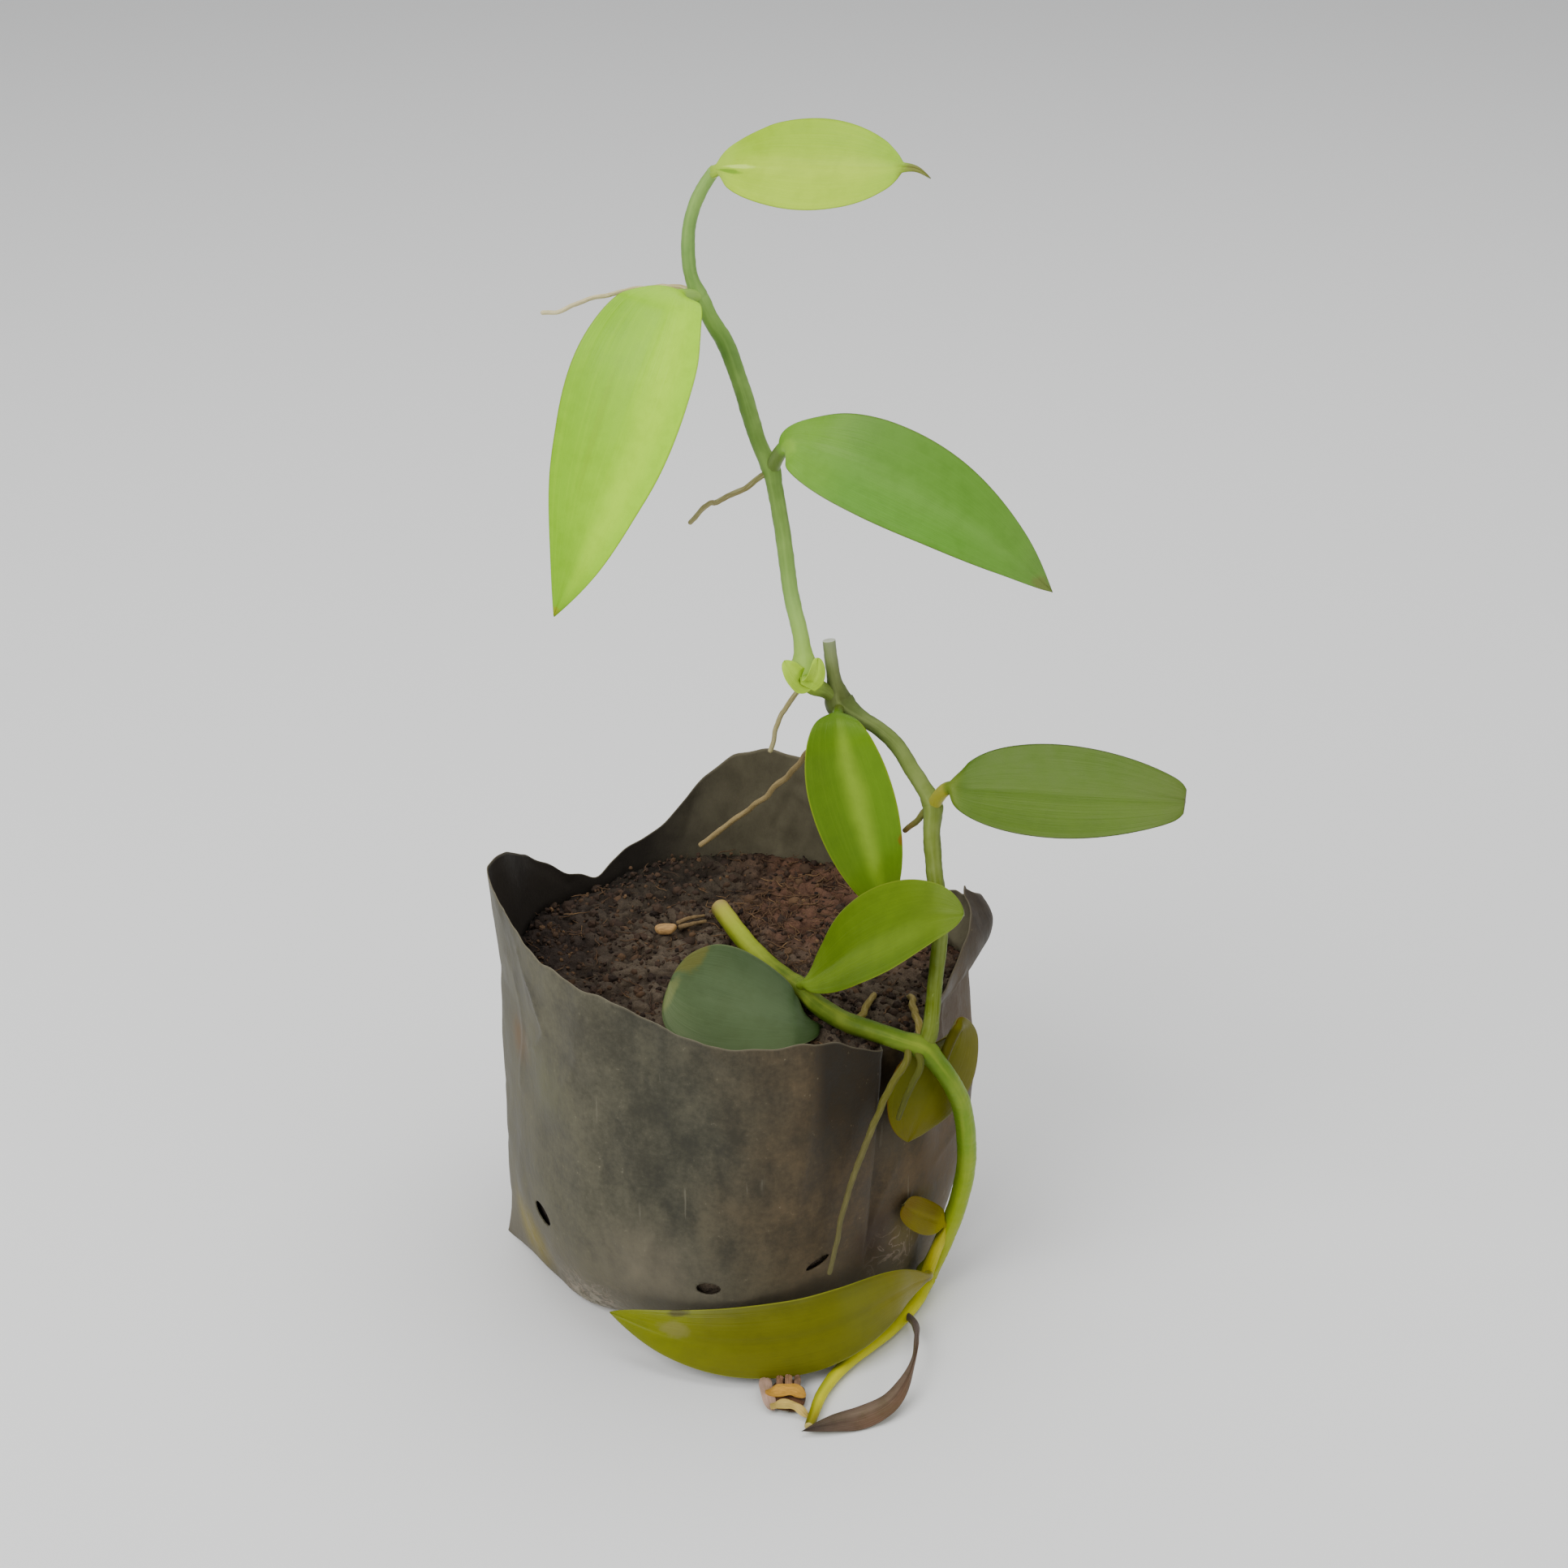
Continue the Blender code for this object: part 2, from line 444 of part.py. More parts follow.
def make_bag():
    """The film: outer wall up, over the rim and down the inner wall."""
    azimuth = np.array(AZIMUTHS, float)
    rim = ring_value(RIM, azimuth)
    top = WALL_LEVELS[-1]
    levels = [np.full_like(azimuth, level) for level in WALL_LEVELS]
    levels += [top + (rim - top) * 0.5, rim]
    outer = [bag_point(azimuth, level, 0.0) for level in levels]
    inner = [bag_point(azimuth, level, BAG_WALL) for level in levels[1:]]
    bag = loft("grow_bag", np.array(outer + inner[::-1]), material("film", (0.045, 0.042, 0.036), 0.45))
    for number, (turn, level) in enumerate(HOLES):
        for side in (1, -1):
            cut(bag, hole_punch(f"punch_{number}_{side}", side * turn, level))
    return bag


def hole_punch(name, azimuth, level):
    """A short rod through the film, square to the wall."""
    angle = math.radians(azimuth)
    centre = bag_point(np.array(float(azimuth)), np.array(level), BAG_WALL / 2)
    heading = np.array((math.cos(angle), math.sin(angle), 0.0))
    path = centre + np.outer((-1.2, 0.0, 2.0), heading)
    return loft(name, tube_rings(path, (HOLE_R,) * 3, 8), material(name, (0, 0, 0), 1.0))


def soil_level(x, y):
    """Height of the soil: a gentle heap with lumps."""
    lumps = 0.9 * np.sin(x / 11.0 + 1.3) * np.cos(y / 13.0 + 0.4) + 0.4 * np.sin((x - y) / 14.0)
    return SOIL_Z + 0.3 + lumps


def make_soil(beds):
    """The compost: the bag's inner form with a lumpy top, cut by the beds of what stands in it."""
    azimuth = np.array(AZIMUTHS, float)
    levels = (SOIL_INSET,) + WALL_LEVELS[2:] + (SOIL_Z - SOIL_EDGE_DROP,)
    rings = [bag_point(azimuth, np.full_like(azimuth, level), SOIL_INSET) for level in levels]
    edge = rings[-1]
    centre = np.array((BAG_LEAN, 0.0, 0.0))
    for share in SOIL_RINGS:
        ring = centre + (edge - centre) * share
        ring[:, 2] = soil_level(ring[:, 0], ring[:, 1])
        rings.append(ring)
    soil = loft("soil", np.array(rings[::-1]), material("compost", (0.035, 0.02, 0.012), 0.95))
    for bed in beds:
        cut(soil, bed)
    return soil


def bed_for(name, path, radii):
    """A rod a little wider and longer than the piece that lies or stands in the soil."""
    wider = np.pad(np.asarray(radii), 1, mode="edge") + GAP + 0.1
    first = path[0] - 2 * GAP * unit(path[1] - path[0])
    last = path[-1] + 2 * GAP * unit(path[-1] - path[-2])
    path = np.vstack([first, path, last])
    return loft("bed_" + name, tube_rings(path, wider, STEM_SIDES), material("bed", (0, 0, 0), 1.0))


def make_chip():
    """A flat chip of wood lying on the soil."""
    long, broad, high = CHIP_SIZE
    turn = np.linspace(0.0, 2 * np.pi, 8, endpoint=False)
    rings = []
    for share, lift in ((0.8, 0.0), (1.0, 0.35), (0.95, 0.7), (0.6, 1.0)):
        x = CHIP_CENTRE[0] + long / 2 * share * np.cos(turn)
        y = CHIP_CENTRE[1] + broad / 2 * share * np.sin(turn) * (1 + 0.15 * np.cos(3 * turn))
        rings.append(np.stack([x, y, soil_level(x, y) + 2 * GAP + high * lift], axis=-1))
    return loft("soil_chip", np.array(rings), material("chip", (0.42, 0.25, 0.08), 0.8))


def make_strand(number, route):
    """A strand of bark lying along the soil."""
    path = smooth_route([(x, y, 0.0) for x, y in route], 2.0)
    path[:, 2] = soil_level(path[:, 0], path[:, 1]) + STRAND_R + 2 * GAP
    rings = tube_rings(path, np.full(len(path), STRAND_R), ROOT_SIDES)
    return loft(f"soil_strand_{number}", rings, material(f"strand_{number}", (0.22, 0.13, 0.05), 0.9))


def make_stem(name, stem, finish, parent=None):
    """A stem as a tube; one that grows from another starts at its skin."""
    path, radii = stem.path, stem.radii
    if parent is None:
        return loft(name, tube_rings(path, radii, STEM_SIDES), finish)
    start = seat(path, parent)
    radii = np.interp(stem.run[-1] - run_along(start)[-1] + run_along(start), stem.run, radii)
    rings = tube_rings(start, radii, STEM_SIDES)
    rings[0] = saddle(rings[0], unit(start[1] - start[0]), parent)
    return loft(name, rings, finish, start=start[0])


def leaf_outline(share, powers):
    """Half width of a blade from base to tip, as a share of its greatest.

    The blade opens as a power of the distance from the base and closes as a
    power of the distance to the tip.
    """
    low, high = powers
    widest = low / (low + high)
    share = np.clip(share, 1e-6, 1 - 1e-6)
    return (share / widest) ** low * ((1 - share) / (1 - widest)) ** high


def leaf_rings(spec, stem):
    """Closed rings from the petiole's foot to the tip, and the middle of the foot."""
    path = smooth_route(spec["route"], 1.5)
    if stem is not None:
        path = seat(path, stem)
    run = run_along(path)
    petiole = spec["petiole"]
    end = petiole + (run[-1] - petiole) * spec.get("cut", 1.0)
    eased = 0.5 - 0.5 * np.cos(np.linspace(0.0, np.pi, BLADE_RINGS))
    at = np.concatenate([np.linspace(0.0, petiole, 4)[:-1], petiole + (end - petiole) * eased])
    spine = np.column_stack([np.interp(at, run, path[:, k]) for k in range(3)])
    ahead = unit(np.gradient(spine, axis=0))
    share = at / run[-1]
    hint = unit(np.outer(1 - share, spec["normals"][0]) + np.outer(share, spec["normals"][1]))
    across = unit(np.cross(ahead, hint))
    normal = np.cross(across, ahead)
    blade = np.clip((at - petiole) / (run[-1] - petiole), 0, 1)
    widest = spec["width"] / 2
    half = widest * np.where(at > petiole, leaf_outline(blade, spec["powers"]), 0.0)
    foot = PETIOLE_R * np.clip(1 - blade * 3, 0.3, 1)
    half = np.maximum(half, foot)
    thick = np.where(at <= petiole, 2 * PETIOLE_R, BLADE_THICK)
    thick = np.where(blade > 0.95, EDGE_THICK, thick)
    u = np.array(BLADE_ACROSS)
    cup = spec["cup"] * (half / widest)[:, None] ** 2 * u[None] ** 2
    edge = np.minimum(EDGE_THICK, thick)[:, None]
    depth = (edge + (thick[:, None] - edge) * (1 - u[None] ** 2)) / 2
    middle = spine[:, None] + across[:, None] * (half[:, None] * u[None])[..., None]
    upper = middle + normal[:, None] * (cup + depth)[..., None]
    lower = middle + normal[:, None] * (cup - depth)[..., None]
    rings = np.concatenate([upper, lower[:, ::-1]], axis=1)
    if stem is not None:
        rings[0] = saddle(rings[0], ahead[0], stem)
    return rings, spine[0]


def make_leaf(name, spec, stem):
    """One leaf: a round petiole that opens into a cupped blade."""
    rings, foot = leaf_rings(spec, stem)
    lower_columns = range(len(BLADE_ACROSS), 2 * len(BLADE_ACROSS) - 1)
    return loft(name, rings, material(name, spec["colour"], 0.4), swap=lower_columns, start=foot)


def root_path(route, stem):
    """A root's axis from the skin of its stem."""
    return seat(smooth_route(route, 4.0), stem)


def make_root(name, path, radii, stem):
    """One aerial root, round and slightly tapered."""
    rings = tube_rings(path, radii, ROOT_SIDES)
    rings[0] = saddle(rings[0], unit(path[1] - path[0]), stem)
    return loft(name, rings, material(name, (0.42, 0.33, 0.14), 0.7), start=path[0])


def main():
    clear_scene()
    stems = {
        "trailing_stem": Stem(TRAILING_ROUTE, ((0, 2.6), (0.72, 2.6), (0.8, 2.2), (1, 1.3)),
                              (VINE_NODE_1, VINE_NODE_2, VINE_NODE_3), 5.2),
        "climbing_stem": Stem(CLIMBING_ROUTE, ((0, 2.4), (0.5, 2.3), (0.7, 2.0), (0.86, 1.9), (1, 1.65)),
                              (CLIMB_NODE_1,), 4.4),
        "young_shoot": Stem(SHOOT_ROUTE, ((0, 1.4), (0.06, 2.1), (0.4, 2.0), (0.7, 2.1), (0.8, 1.7), (1, 1.5)),
                            (SHOOT_NODE_1, SHOOT_NODE_2), 4.0),
    }
    stems["climbing_stem"].thicken(CLIMB_NODE_2, FORK_SWELL, FORK_LENGTH)
    stems["young_shoot"].thicken(SHOOT_FOOT, FOOT_SWELL, FOOT_LENGTH)
    make_bag()
    make_stem("trailing_stem", stems["trailing_stem"], material("old_vine", (0.20, 0.24, 0.02), 0.45))
    make_stem("climbing_stem", stems["climbing_stem"], material("branch", (0.13, 0.18, 0.02), 0.45),
              stems["trailing_stem"])
    make_stem("young_shoot", stems["young_shoot"], material("shoot", (0.23, 0.33, 0.12), 0.4),
              stems["climbing_stem"])
    for name, spec in LEAVES.items():
        make_leaf(name, spec, stems.get(spec["stem"]))
    vine = stems["trailing_stem"]
    in_soil = vine.run < VINE_BED_RUN
    beds = [bed_for("vine", vine.path[in_soil], vine.radii[in_soil])]
    petiole = smooth_route(LEAVES["leaf_rim"]["route"][:4], 2.0)
    beds.append(bed_for("petiole", petiole, np.full(len(petiole), PETIOLE_R * 1.42)))
    for name, (route, thick, thin, stem_name) in ROOTS.items():
        path = root_path(route, stems[stem_name])
        radii = np.linspace(thick, thin, len(path))
        make_root(name, path, radii, stems[stem_name])
        if name in ROOTS_IN_SOIL:
            beds.append(bed_for(name, path, radii))
    make_soil(beds)
    make_chip()
    for number, route in enumerate(STRANDS, 1):
        make_strand(number, route)


main()
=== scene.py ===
"""A vanilla orchid growing in a filled black film grow bag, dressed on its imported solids.

Sizes are in millimetres and MM turns them into metres when a mesh is made; the stage and the
materials are in metres. Z is up, the front faces -Y, and the origin is the centre of the bag's
underside. Colours of three numbers are screen values of 0 to 255 and those of four are linear;
tints are shares of red, green and blue.
"""
import math

import bpy
import numpy as np
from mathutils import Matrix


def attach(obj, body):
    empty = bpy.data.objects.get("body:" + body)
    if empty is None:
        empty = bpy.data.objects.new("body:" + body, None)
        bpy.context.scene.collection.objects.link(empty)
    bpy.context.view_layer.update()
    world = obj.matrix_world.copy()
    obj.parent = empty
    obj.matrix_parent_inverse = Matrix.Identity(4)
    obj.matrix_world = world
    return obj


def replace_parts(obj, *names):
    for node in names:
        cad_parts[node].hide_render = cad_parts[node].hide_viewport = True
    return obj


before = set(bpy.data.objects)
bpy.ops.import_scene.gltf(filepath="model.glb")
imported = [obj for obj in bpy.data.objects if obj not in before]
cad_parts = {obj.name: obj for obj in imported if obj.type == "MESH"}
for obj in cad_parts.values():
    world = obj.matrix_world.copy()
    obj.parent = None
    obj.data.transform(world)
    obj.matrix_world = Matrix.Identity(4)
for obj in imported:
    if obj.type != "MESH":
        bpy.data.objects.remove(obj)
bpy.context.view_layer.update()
MM = 0.001


# The stage: a pale floor that the bag stands on, soft daylight from the upper left with a weak
# fill from the right, and the camera, which looks down on the plant by 28 degrees from the front.
def object_of(name, data):
    """A new object in the scene that shows a light, a lens or a mesh."""
    item = bpy.data.objects.new(name, data)
    bpy.context.scene.collection.objects.link(item)
    return item


def area_light(name, place, target, size, power):
    """A square soft box at a place, turned so that its face looks at the target."""
    lamp = bpy.data.lights.new(name, "AREA")
    lamp.energy = power
    lamp.size = size
    item = object_of(name, lamp)
    item.location = place
    back = np.subtract(place, target)
    item.rotation_euler = (math.atan2(math.hypot(back[0], back[1]), back[2]), 0,
                           math.atan2(back[0], -back[1]))


def new_finish(name, roughness, gloss=0.5, tint=(1, 1, 1)):
    """A Principled material with its constants on the shader's own sockets."""
    made = bpy.data.materials.new(name)
    made.use_nodes = True
    shader = made.node_tree.nodes["Principled BSDF"]
    shader.inputs["Roughness"].default_value = roughness
    shader.inputs["Specular IOR Level"].default_value = gloss
    shader.inputs["Specular Tint"].default_value = (*tint, 1)
    return made, made.node_tree, shader


area_light("window", (-0.75, -0.85, 1.15), (0, 0, 0.14), 0.9, 17.5)
area_light("ceiling", (0.15, 0.25, 1.5), (0, 0, 0.12), 1.4, 15.5)
area_light("reflector", (0.95, -0.55, 0.5), (0, 0, 0.12), 0.8, 2.4)
world = bpy.data.worlds.new("room")
world.use_nodes = True
sky = world.node_tree.nodes["Background"].inputs
sky["Color"].default_value = (0.97, 0.98, 1, 1)
sky["Strength"].default_value = 0.5
bpy.context.scene.world = world

floor_mesh = bpy.data.meshes.new("floor")
floor_mesh.from_pydata([(-3, -3, 0), (3, -3, 0), (3, 3, 0), (-3, 3, 0)], [], [(0, 1, 2, 3)])
floor = object_of("floor", floor_mesh)
pale, _, shader = new_finish("pale_floor", 0.9)
shader.inputs["Base Color"].default_value = (0.86, 0.86, 0.85, 1)
floor_mesh.materials.append(pale)

lens = bpy.data.cameras.new("camera")
lens.lens = 63.52
lens.sensor_width = 36
camera = object_of("camera", lens)
camera.location = (0.01786, -0.63959, 0.48465)
camera.rotation_euler = (math.radians(62), 0, 0)
bpy.context.scene.camera = camera


# The grow bag: one sleeve of black polythene film, heat-sealed across its flat bottom, filled
# and loose above the soil. It is dusty and scuffed outside, with a long fold at the front right,
# soft creases all over and a few punched drainage holes that go through both layers.
BAG_LEAN = 4
BAG_SOIL = 90
FILM_THICKNESS = 0.3
EVEN_ROWS_TOP = 80
BAG_HALF_WIDTH = 61
MM_PER_DEGREE = 1.065
# By azimuth, which is 0 at the right and -90 at the front: the rim's height; a fold's depth and half
# width; and a hole's level, long and short half size and slant. A crease is a line through points of
# azimuth and level, with its height and half width.
RIM_HEIGHTS = ((10, 103.5), (25, 97.5), (38, 91.5), (55, 106), (70, 119), (80, 122.5), (92, 121),
    (102, 112), (110, 101), (123, 95.8), (134, 91.9), (143, 97.6), (156, 108.4), (172, 118), (190, 118),
    (205, 117.5), (225, 114.2), (238, 112.4), (251, 108.8), (263, 104), (276, 102.5), (289, 102.5),
    (297, 99.8), (306, 94.5), (314, 91.4), (322, 91.6), (335, 102), (346, 109), (356, 113))
BAG_FOLDS = ((0, 3, 7), (180, 2.2, 7), (32, -1.8, 9), (62, 1.2, 10), (98, -1.5, 12), (128, -2.6, 10),
    (152, 1.4, 9), (205, -1, 8), (232, 0.8, 10), (258, -0.9, 9), (285, 0.9, 10), (338, -1.6, 8))
DRAIN_HOLES = ((-144.8, 31.5, 4.3, 3, -0.2), (-93, 26, 3.3, 2.2, 0.05), (-65.3, 31, 3.7, 1.35, 0.55),
    (-98, 15.5, 2, 1.1, 0.2))
BAG_CREASES = (
    (((-71, 104), (-70.5, 88), (-71.5, 66), (-73, 48)), 0.7, 1.5),
    (((-152, 112), (-149, 106), (-144, 99), (-141, 92), (-146, 85), (-151, 82)), 0.9, 1.7),
    (((-158, 100), (-156, 84), (-158, 66)), 0.6, 2),
    (((-128, 92), (-133, 80), (-139, 72)), 0.45, 1.6),
    (((-100, 98), (-104, 84), (-103, 66)), 0.35, 1.4),
    (((-42, 52), (-47, 38), (-50, 24), (-47, 14)), 0.8, 1.4),
    (((-36, 40), (-39, 28), (-37, 18)), 0.7, 1.1),
    (((-33, 30), (-29, 22), (-33, 15)), 0.6, 1),
    (((-18, 98), (-22, 86), (-19, 70)), 0.7, 1.6),
    (((-8, 60), (-16, 48), (-25, 44)), 0.5, 1.8),
    (((20, 96), (24, 80), (21, 60)), 0.7, 1.8),
    (((75, 112), (80, 98), (78, 92)), 0.8, 2.2),
    (((102, 108), (104, 96), (100, 90)), 0.7, 2),
    (((140, 92), (137, 76), (141, 58)), 0.6, 1.8),
    (((60, 60), (68, 48), (66, 30)), 0.5, 1.8),
    (((110, 40), (118, 30), (116, 18)), 0.6, 1.6))


def unit(vectors):
    """Vectors divided by their own length."""
    return vectors / np.linalg.norm(vectors, axis=-1, keepdims=True)


def ripple(points, length, seed, count=14):
    """A smooth random field: a count of sine waves of about that length in seeded directions,
    each sin(direction . point . 2 pi / length + phase), summed and divided by count^0.5."""
    seeded = np.random.default_rng(seed)
    heading = unit(seeded.normal(size=(count, points.shape[-1])))
    pitch = 2 * np.pi / (length * seeded.uniform(0.7, 1.5, count))
    waves = np.sin(points @ (heading * pitch[:, None]).T + seeded.uniform(0, 2 * np.pi, count))
    return waves.sum(axis=-1) / count ** 0.5


def creases(points, length, seed, count=5):
    """Flat facets that meet in creases: a quarter of the sum of triangle waves, asin(0.98 sin x),
    in seeded directions, over points that a slow ripple has shifted."""
    seeded = np.random.default_rng(seed)
    shifted = points + 0.35 * length * ripple(points, 2.2 * length, seed + 1)[..., None]
    heading = unit(seeded.normal(size=(count, 2)))
    heading = heading * (np.pi / (length * seeded.uniform(0.6, 1.6, count)))[:, None]
    waves = np.arcsin(0.98 * np.sin(shifted @ heading.T + seeded.uniform(0, 6, count)))
    return waves.sum(axis=-1) / 4


def round_value(table, azimuth):
    """Value round the bag: a cubic Hermite curve through a table of azimuth and value."""
    at, value = np.array(table, float).T
    at = np.concatenate([at[-2:] - 360, at, at[:2] + 360])
    value = np.concatenate([value[-2:], value, value[:2]])
    slope = np.gradient(value, at)
    azimuth = np.mod(azimuth - at[2], 360) + at[2]
    index = np.clip(np.searchsorted(at, azimuth, side="right") - 1, 0, len(at) - 2)
    span = at[index + 1] - at[index]
    t = (azimuth - at[index]) / span
    return ((2 * t ** 3 - 3 * t ** 2 + 1) * value[index] + (t ** 3 - 2 * t ** 2 + t) * span * slope[index]
            + (3 * t ** 2 - 2 * t ** 3) * value[index + 1] + (t ** 3 - t ** 2) * span * slope[index + 1])


def turned(azimuth, centre):
    """Signed angle in degrees from a centre azimuth."""
    return np.mod(azimuth - centre + 180, 360) - 180


def bell(azimuth, centre, half):
    """A bell curve round the bag, exp(-(angle from a centre / half width)^2)."""
    return np.exp(-(turned(azimuth, centre) / half) ** 2)


def ramp(level, start, span, most=1):
    """A straight rise from 0 at a start level, by 1 over a span, held between 0 and its most."""
    return np.clip((level - start) / span, 0, most)


def film_radius(azimuth, level):
    """Radius of the filled bag: a pointed sole, (|cos a / 61|^p + |sin a / 46|^p)^(-1/p), with its
    right end pulled 12 degrees to the front, swells to the round wall as a quarter ellipse over
    44 mm. Folds are bell curves of the azimuth, the long pleat is a saw tooth that fades with
    exp(-angle / 11), the loose rim leans out, its right tip curls in by 2.8 mm, the lower right
    swells by 2.3 mm, and the front left of the foot flares out by 4 mm."""
    angle = np.radians(azimuth)
    pulled = angle + math.radians(12) * np.cos(angle / 2) ** 4
    power = 1.15 + 0.45 * bell(azimuth, 325, 30)
    sole = np.abs(np.cos(pulled) / BAG_HALF_WIDTH) ** power + np.abs(np.sin(pulled) / 46) ** power
    sole = sole ** (-1 / power)
    wall = 59.8 + 1.6 * np.sin(angle) ** 2 + 1.2 * ramp(level, 0, BAG_SOIL)
    radius = sole + (wall - sole) * np.sqrt(1 - (1 - ramp(level, 0, 44)) ** 2)
    for centre, depth, half in BAG_FOLDS:
        radius = radius + depth * ramp(level, 8, 60) * bell(azimuth, centre, half)
    past = turned(azimuth, 311)
    tooth = np.where(past >= 0, np.exp(-past / 11), np.clip(1 + past / 2, 0, 1))
    radius = radius - 3.2 * tooth * ramp(level, 14, 20)
    loose = ramp(level, BAG_SOIL, 30, 1.2)
    left = 4 * loose * np.clip(-np.cos(angle), 0, 1) ** 2
    bulge = 5 * np.sin(np.pi * np.clip(loose / 0.8, 0, 1))
    belly = 4.4 * np.sin(np.pi * ramp(level, 0, BAG_SOIL))
    right = np.clip(np.cos(angle), 0, 1) ** 2
    curl = 2.8 * ramp(level, 104, 10) * bell(azimuth, 358, 7)
    swell = 2.3 * np.sin(np.pi * ramp(level, 8, 64)) * bell(azimuth, 348, 19)
    half = np.where(turned(azimuth, 222) < 0, 23, 12)
    flare = 4 * bell(azimuth, 222, half) * np.exp(-(level / 6) ** 2)
    return radius + left + bulge * right ** 2 + belly * right ** 3 + swell + flare - curl


CREASE_PLANE = np.array(((0.9, 0.1), (-0.2, 0.75), (0.4, 0.65)))


def ridges(azimuth, level):
    """Height of the sharp creases: each is a line through points of azimuth and level, drawn on
    the unrolled wall, and rises by height . exp(-distance / half width)."""
    unrolled = np.array((MM_PER_DEGREE, 1))
    half_way = 180 * MM_PER_DEGREE
    flat = np.stack([azimuth, level], axis=-1) * unrolled
    total = np.zeros(flat.shape[:-1])
    for line, height, half in BAG_CREASES:
        line = np.array(line, float) * unrolled
        nearest = np.full(total.shape, 1e9)
        for a, b in zip(line[:-1], line[1:]):
            past = flat - a
            past[..., 0] = np.mod(past[..., 0] + half_way, 2 * half_way) - half_way
            share = np.clip(past @ (b - a) / ((b - a) @ (b - a)), 0, 1)
            nearest = np.minimum(nearest, np.linalg.norm(past - share[..., None] * (b - a), axis=-1))
        total = total + height * np.exp(-nearest / half)
    return total


def film_point(azimuth, level, inset):
    """Point of the wall a given depth inside its outer face. Crumples of up to 0.5 mm cover the
    filled wall, and grow to 1.5 mm on the loose film above the soil."""
    turn = np.radians(azimuth)
    round_trip = np.stack([BAG_HALF_WIDTH * np.cos(turn), BAG_HALF_WIDTH * np.sin(turn), level], axis=-1)
    loose = ramp(level, BAG_SOIL - 6, 22)
    foot = np.clip(1 - level / 30, 0, 1)
    rough = (0.16 + 0.5 * loose + 0.25 * foot) * creases(round_trip @ CREASE_PLANE, 17, 3)
    rough = rough + (0.10 + 0.12 * loose) * creases(round_trip @ CREASE_PLANE, 6, 8)
    rough = rough + 0.22 * ripple(round_trip * (1, 1, 0.35), 14, 5) + ridges(azimuth, level)
    radius = film_radius(azimuth, level) + (rough - 0.2) * ramp(level, 0, 3) - inset
    lean = BAG_LEAN * ramp(level, 0, BAG_SOIL, 1.4)
    return np.stack([radius * np.cos(turn) + lean, radius * np.sin(turn), level], axis=-1)


def closed_body(name, grid, finish, body_slot, **bands):
    """A closed mesh over a grid of rings. Quads join neighbouring rings, and triangles join each
    end ring to its own mean point. The faces are turned outwards by the sign of the volume,
    and bands are values or vectors that are stored on the points."""
    rows, columns = grid.shape[:2]

    def with_ends(values):
        """Values of a grid one after another, then the means of its first and last rings."""
        width = values.shape[-1] if values.ndim == 3 else 1
        ends = [values[at].mean(axis=0).reshape(1, width) for at in (0, -1)]
        return np.vstack([values.reshape(-1, width), *ends])

    points = with_ends(grid) * MM
    row, column = np.mgrid[:rows - 1, :columns]
    a = (row * columns + column).ravel()
    b = (row * columns + (column + 1) % columns).ravel()
    quads = np.stack([a, b, b + columns, a + columns], axis=1)
    ring = np.arange(columns)
    after = (ring + 1) % columns
    last = (rows - 1) * columns
    first_fan = np.stack([after, ring, np.full(columns, rows * columns)], axis=1)
    last_fan = np.stack([last + ring, last + after, np.full(columns, rows * columns + 1)], axis=1)
    corners = points[np.vstack([quads[:, :3], quads[:, (0, 2, 3)], first_fan, last_fan])]
    volume = np.einsum("ij,ij->", np.cross(corners[:, 0], corners[:, 1]), corners[:, 2])
    turn = slice(None, None, -1 if volume < 0 else 1)
    faces = [face for kind in (quads, first_fan, last_fan) for face in kind[:, turn].tolist()]
    stored = {key: with_ends(value) for key, value in bands.items()}
    return piece(name, points, faces, finish, body_slot, **stored)


def piece(name, points, faces, finish, body_slot, **bands):
    """A smooth mesh object at the origin that rides on the part's one body."""
    mesh = bpy.data.meshes.new(name)
    mesh.from_pydata(points, [], faces)
    for key, value in bands.items():
        vector = value.shape[-1] == 3
        layer = mesh.attributes.new(key, "FLOAT_VECTOR" if vector else "FLOAT", "POINT")
        layer.data.foreach_set("vector" if vector else "value", value.astype(np.float32).ravel())
    mesh.shade_smooth()
    mesh.materials.append(finish)
    item = object_of(name, mesh)
    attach(item, "root")
    return item


class Value:
    """An output in a shader tree. It is used like a number, and each sum makes one Math node."""

    def __init__(self, socket):
        self.socket = socket

    def __add__(self, other):
        return reckoned("ADD", self, other)

    def __sub__(self, other):
        return reckoned("SUBTRACT", self, other)

    def __rsub__(self, other):
        return reckoned("SUBTRACT", other, self)

    def __mul__(self, other):
        return reckoned("MULTIPLY", self, other)

    def __truediv__(self, other):
        return reckoned("DIVIDE", self, other)

    def __abs__(self):
        return reckoned("ABSOLUTE", self)


def paint(red, green, blue):
    """A linear colour from screen values of 0 to 255: ((c + 0.055) / 1.055) ^ 2.4."""
    return tuple(((c / 255 + 0.055) / 1.055) ** 2.4 for c in (red, green, blue)) + (1,)


def fill(socket, value):
    """Link a Value to a socket, or set it. Three numbers in a colour socket are screen values."""
    if isinstance(value, Value):
        socket.id_data.links.new(value.socket, socket)
    elif socket.type == "RGBA" and len(value) == 3:
        socket.default_value = paint(*value)
    else:
        socket.default_value = value


def tree_of(*values):
    """The tree of the first Value among some values."""
    return next(value.socket.id_data for value in values if isinstance(value, Value))


def add(tree, kind, *values, **settings):
    """A shader node: its settings by name, and its first sockets filled in order."""
    made = tree.nodes.new("ShaderNode" + kind)
    for key, value in settings.items():
        setattr(made, key, value)
    for socket, value in zip(made.inputs, values):
        fill(socket, value)
    return made


